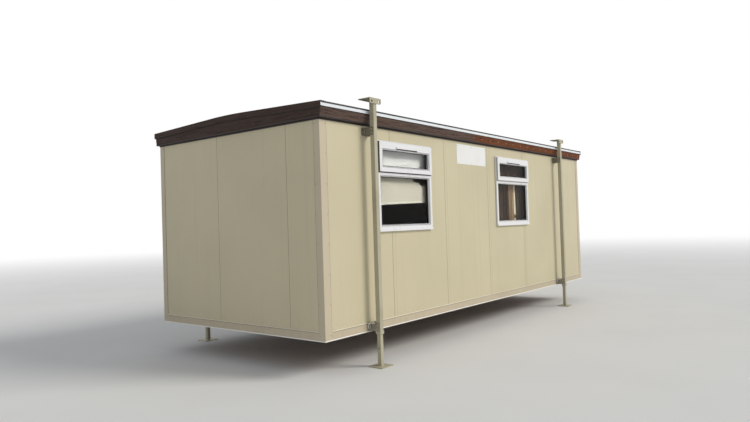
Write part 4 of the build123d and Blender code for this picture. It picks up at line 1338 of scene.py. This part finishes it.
def add_door_seal(leaf_low, leaf_high, out):
    """Rubber seal round the door's leaf."""
    seal = Shape()
    gap = 0.0026
    left, right = leaf_low.x - 0.0002, leaf_high.x + 0.0002
    low, high = leaf_low.z - 0.0002, leaf_high.z + 0.0002
    for x0, x1, z0, z1 in (
        (left - gap, left, low - gap, high + gap),
        (right, right + gap, low - gap, high + gap),
        (left, right, high, high + gap),
        (left, right, low - gap, low),
    ):
        seal.box((x0, out - 0.012, z0), (x1, out - 0.003, z1))
    seal.piece("door_seal", "rubber_black")


def add_lock(leaf_high, out):
    """Lock cylinder under the door's handle, with its keyway."""
    lock = Shape()
    keyway = Shape()
    handle_low, handle_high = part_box("door_handle")
    x = leaf_high.x - 0.060
    z = (handle_low.z + handle_high.z) / 2 - 0.072
    face = out + 0.008
    half = 0.0036
    slot_half = 0.0007
    lock.turned((x, face, z), (0, 1, 0), [(0.0085, 0.0), (0.0085, 0.0042), (0.0078, 0.0050)], 20)
    lock.box((x - half, face, z - 0.024), (x + half, face + 0.0040, z))
    keyway.box((x - slot_half, face + 0.0048, z - 0.0040),
               (x + slot_half, face + 0.0053, z + 0.0040))
    lock.piece("door_lock", "handle_steel", smooth=True)
    keyway.piece("door_keyway", "rubber_black")


def add_door_details():
    """Hinges, seal, weather bar, kick plate, threshold and lock of the rear door."""
    leaf_low, leaf_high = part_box("door_leaf")
    out = DOOR_HIGH.y
    add_hinges(leaf_low, leaf_high, out)
    add_door_seal(leaf_low, leaf_high, out)

    bar = Shape()
    top = DOOR_HIGH.z + 0.012
    overhang = 0.020
    profile = [(0.0, 0.0), (0.0, 0.028), (0.004, 0.028), (0.030, 0.008), (0.034, 0.0), (0.030, 0.0)]
    bar.skin([[(x, HALF_WIDTH + reach, top + rise) for reach, rise in profile]
              for x in (DOOR_LOW.x - overhang, DOOR_HIGH.x + overhang)])
    bar.piece("door_weather_bar", "trim_white", bevel=0.0008)

    kick = Shape()
    margin = 0.020
    kick.box((leaf_low.x + margin, out, leaf_low.z + margin),
             (leaf_high.x - margin, out + 0.0012, leaf_low.z + 0.17))
    kick.piece("door_kick_plate", "handle_steel", bevel=0.0005)

    threshold = Shape()
    jamb = 0.052
    threshold.box((DOOR_LOW.x + jamb, HALF_WIDTH - 0.030, DOOR_LOW.z + 0.050),
                  (DOOR_HIGH.x - jamb, out - 0.046, DOOR_LOW.z + 0.0525))
    threshold.box((DOOR_LOW.x, out, DOOR_LOW.z + 0.004),
                  (DOOR_HIGH.x, out + 0.018, DOOR_LOW.z + 0.012))
    threshold.piece("door_threshold", "handle_steel", bevel=0.0008)
    add_lock(leaf_high, out)


def add_floor():
    """Pale floor that fades to the white background far from the cabin."""
    mesh = bpy.data.meshes.new("floor")
    mesh.from_pydata(square(0, 0, FLOOR_HALF, 0), [], [(0, 1, 2, 3)])
    floor = bpy.data.objects.new("floor", mesh)
    bpy.context.scene.collection.objects.link(floor)
    finish = Finish("floor", (226, 226, 224), 0.9)
    finish.fade_in((216, 216, 214), finish.noise(0.6, 3.0), 0.3, 0.8, 0.4)
    distance = finish.node("VectorMath", {0: finish.place}, operation="LENGTH")["Value"]
    seen = finish.product(finish.ramp(distance, *FLOOR_FADE),
                          finish.node("LightPath")["Is Camera Ray"])
    white = finish.node("Emission", {"Strength": BACKDROP_STRENGTH})["Emission"]
    finish.overlay(white, seen)
    mesh.materials.append(MATERIALS["floor"])


def add_world():
    """Even studio light, white where the camera, glass or gloss looks past the object."""
    world = bpy.data.worlds.new("studio")
    bpy.context.scene.world = world
    world.use_nodes = True
    tree = world.node_tree

    def calculate(operation, a, b):
        """Arithmetic on two values."""
        return add_node(tree, "Math", {0: a, 1: b}, operation=operation)["Value"]

    backdrop = tree.nodes["Background"]
    backdrop.inputs["Color"].default_value = (1.0, 1.0, 1.0, 1.0)
    backdrop.inputs["Strength"].default_value = BACKDROP_STRENGTH
    sky = {"Color": linear((244, 248, 255)), "Strength": SKY_STRENGTH}
    light = add_node(tree, "Background", sky)["Background"]
    path = add_node(tree, "LightPath")
    gloss = calculate("MAXIMUM", path["Is Camera Ray"], path["Is Glossy Ray"])
    through = calculate("MAXIMUM", gloss, path["Is Transmission Ray"])
    direct = calculate("LESS_THAN", path["Diffuse Depth"], 0.5)
    mix = {"Fac": calculate("MULTIPLY", through, direct), 1: light,
           2: backdrop.outputs["Background"]}
    surface = tree.nodes["World Output"].inputs["Surface"]
    put(tree, surface, add_node(tree, "MixShader", mix)["Shader"])


def add_key_light():
    """Broad soft key light from the front right, above."""
    lamp = bpy.data.lights.new("key", "SUN")
    lamp.energy = KEY_STRENGTH
    lamp.angle = math.radians(KEY_ANGLE)
    lamp.color = KEY_COLOUR
    key = bpy.data.objects.new("key", lamp)
    key.rotation_euler = KEY_DIRECTION.to_track_quat("Z", "Y").to_euler()
    key.location = KEY_DIRECTION * 12
    bpy.context.scene.collection.objects.link(key)


def add_camera():
    """Camera at the photograph's viewpoint."""
    data = bpy.data.cameras.new("camera")
    data.sensor_width = SENSOR_WIDTH
    data.lens = CAMERA_LENS
    data.clip_end = 400
    camera = bpy.data.objects.new("camera", data)
    heading = Matrix.Rotation(math.radians(CAMERA_HEADING - 90), 4, "Z")
    pitch = Matrix.Rotation(math.radians(90 + CAMERA_PITCH), 4, "X")
    roll = Matrix.Rotation(math.radians(-CAMERA_ROLL), 4, "Z")
    camera.matrix_world = Matrix.Translation(CAMERA_PLACE) @ heading @ pitch @ roll
    bpy.context.scene.collection.objects.link(camera)
    bpy.context.scene.camera = camera


make_finishes()
finish_nodes()
add_joint_seals()
add_trim_rivets()
add_fascia_fixings()
add_fascia_shade_strips()
add_roof_edges()
add_trim_seals()
add_base_ridges()
add_eaves_details()
add_roof_seams()
for window_number, window_box in zip(WINDOW_NUMBERS, WINDOW_BOXES):
    add_window(window_number, window_box)
add_blind()
add_curtains()
add_leg_details()
add_sign_screws()
add_door_details()
add_floor()
add_world()
add_key_light()
add_camera()
bpy.context.scene.view_settings.view_transform = "Standard"
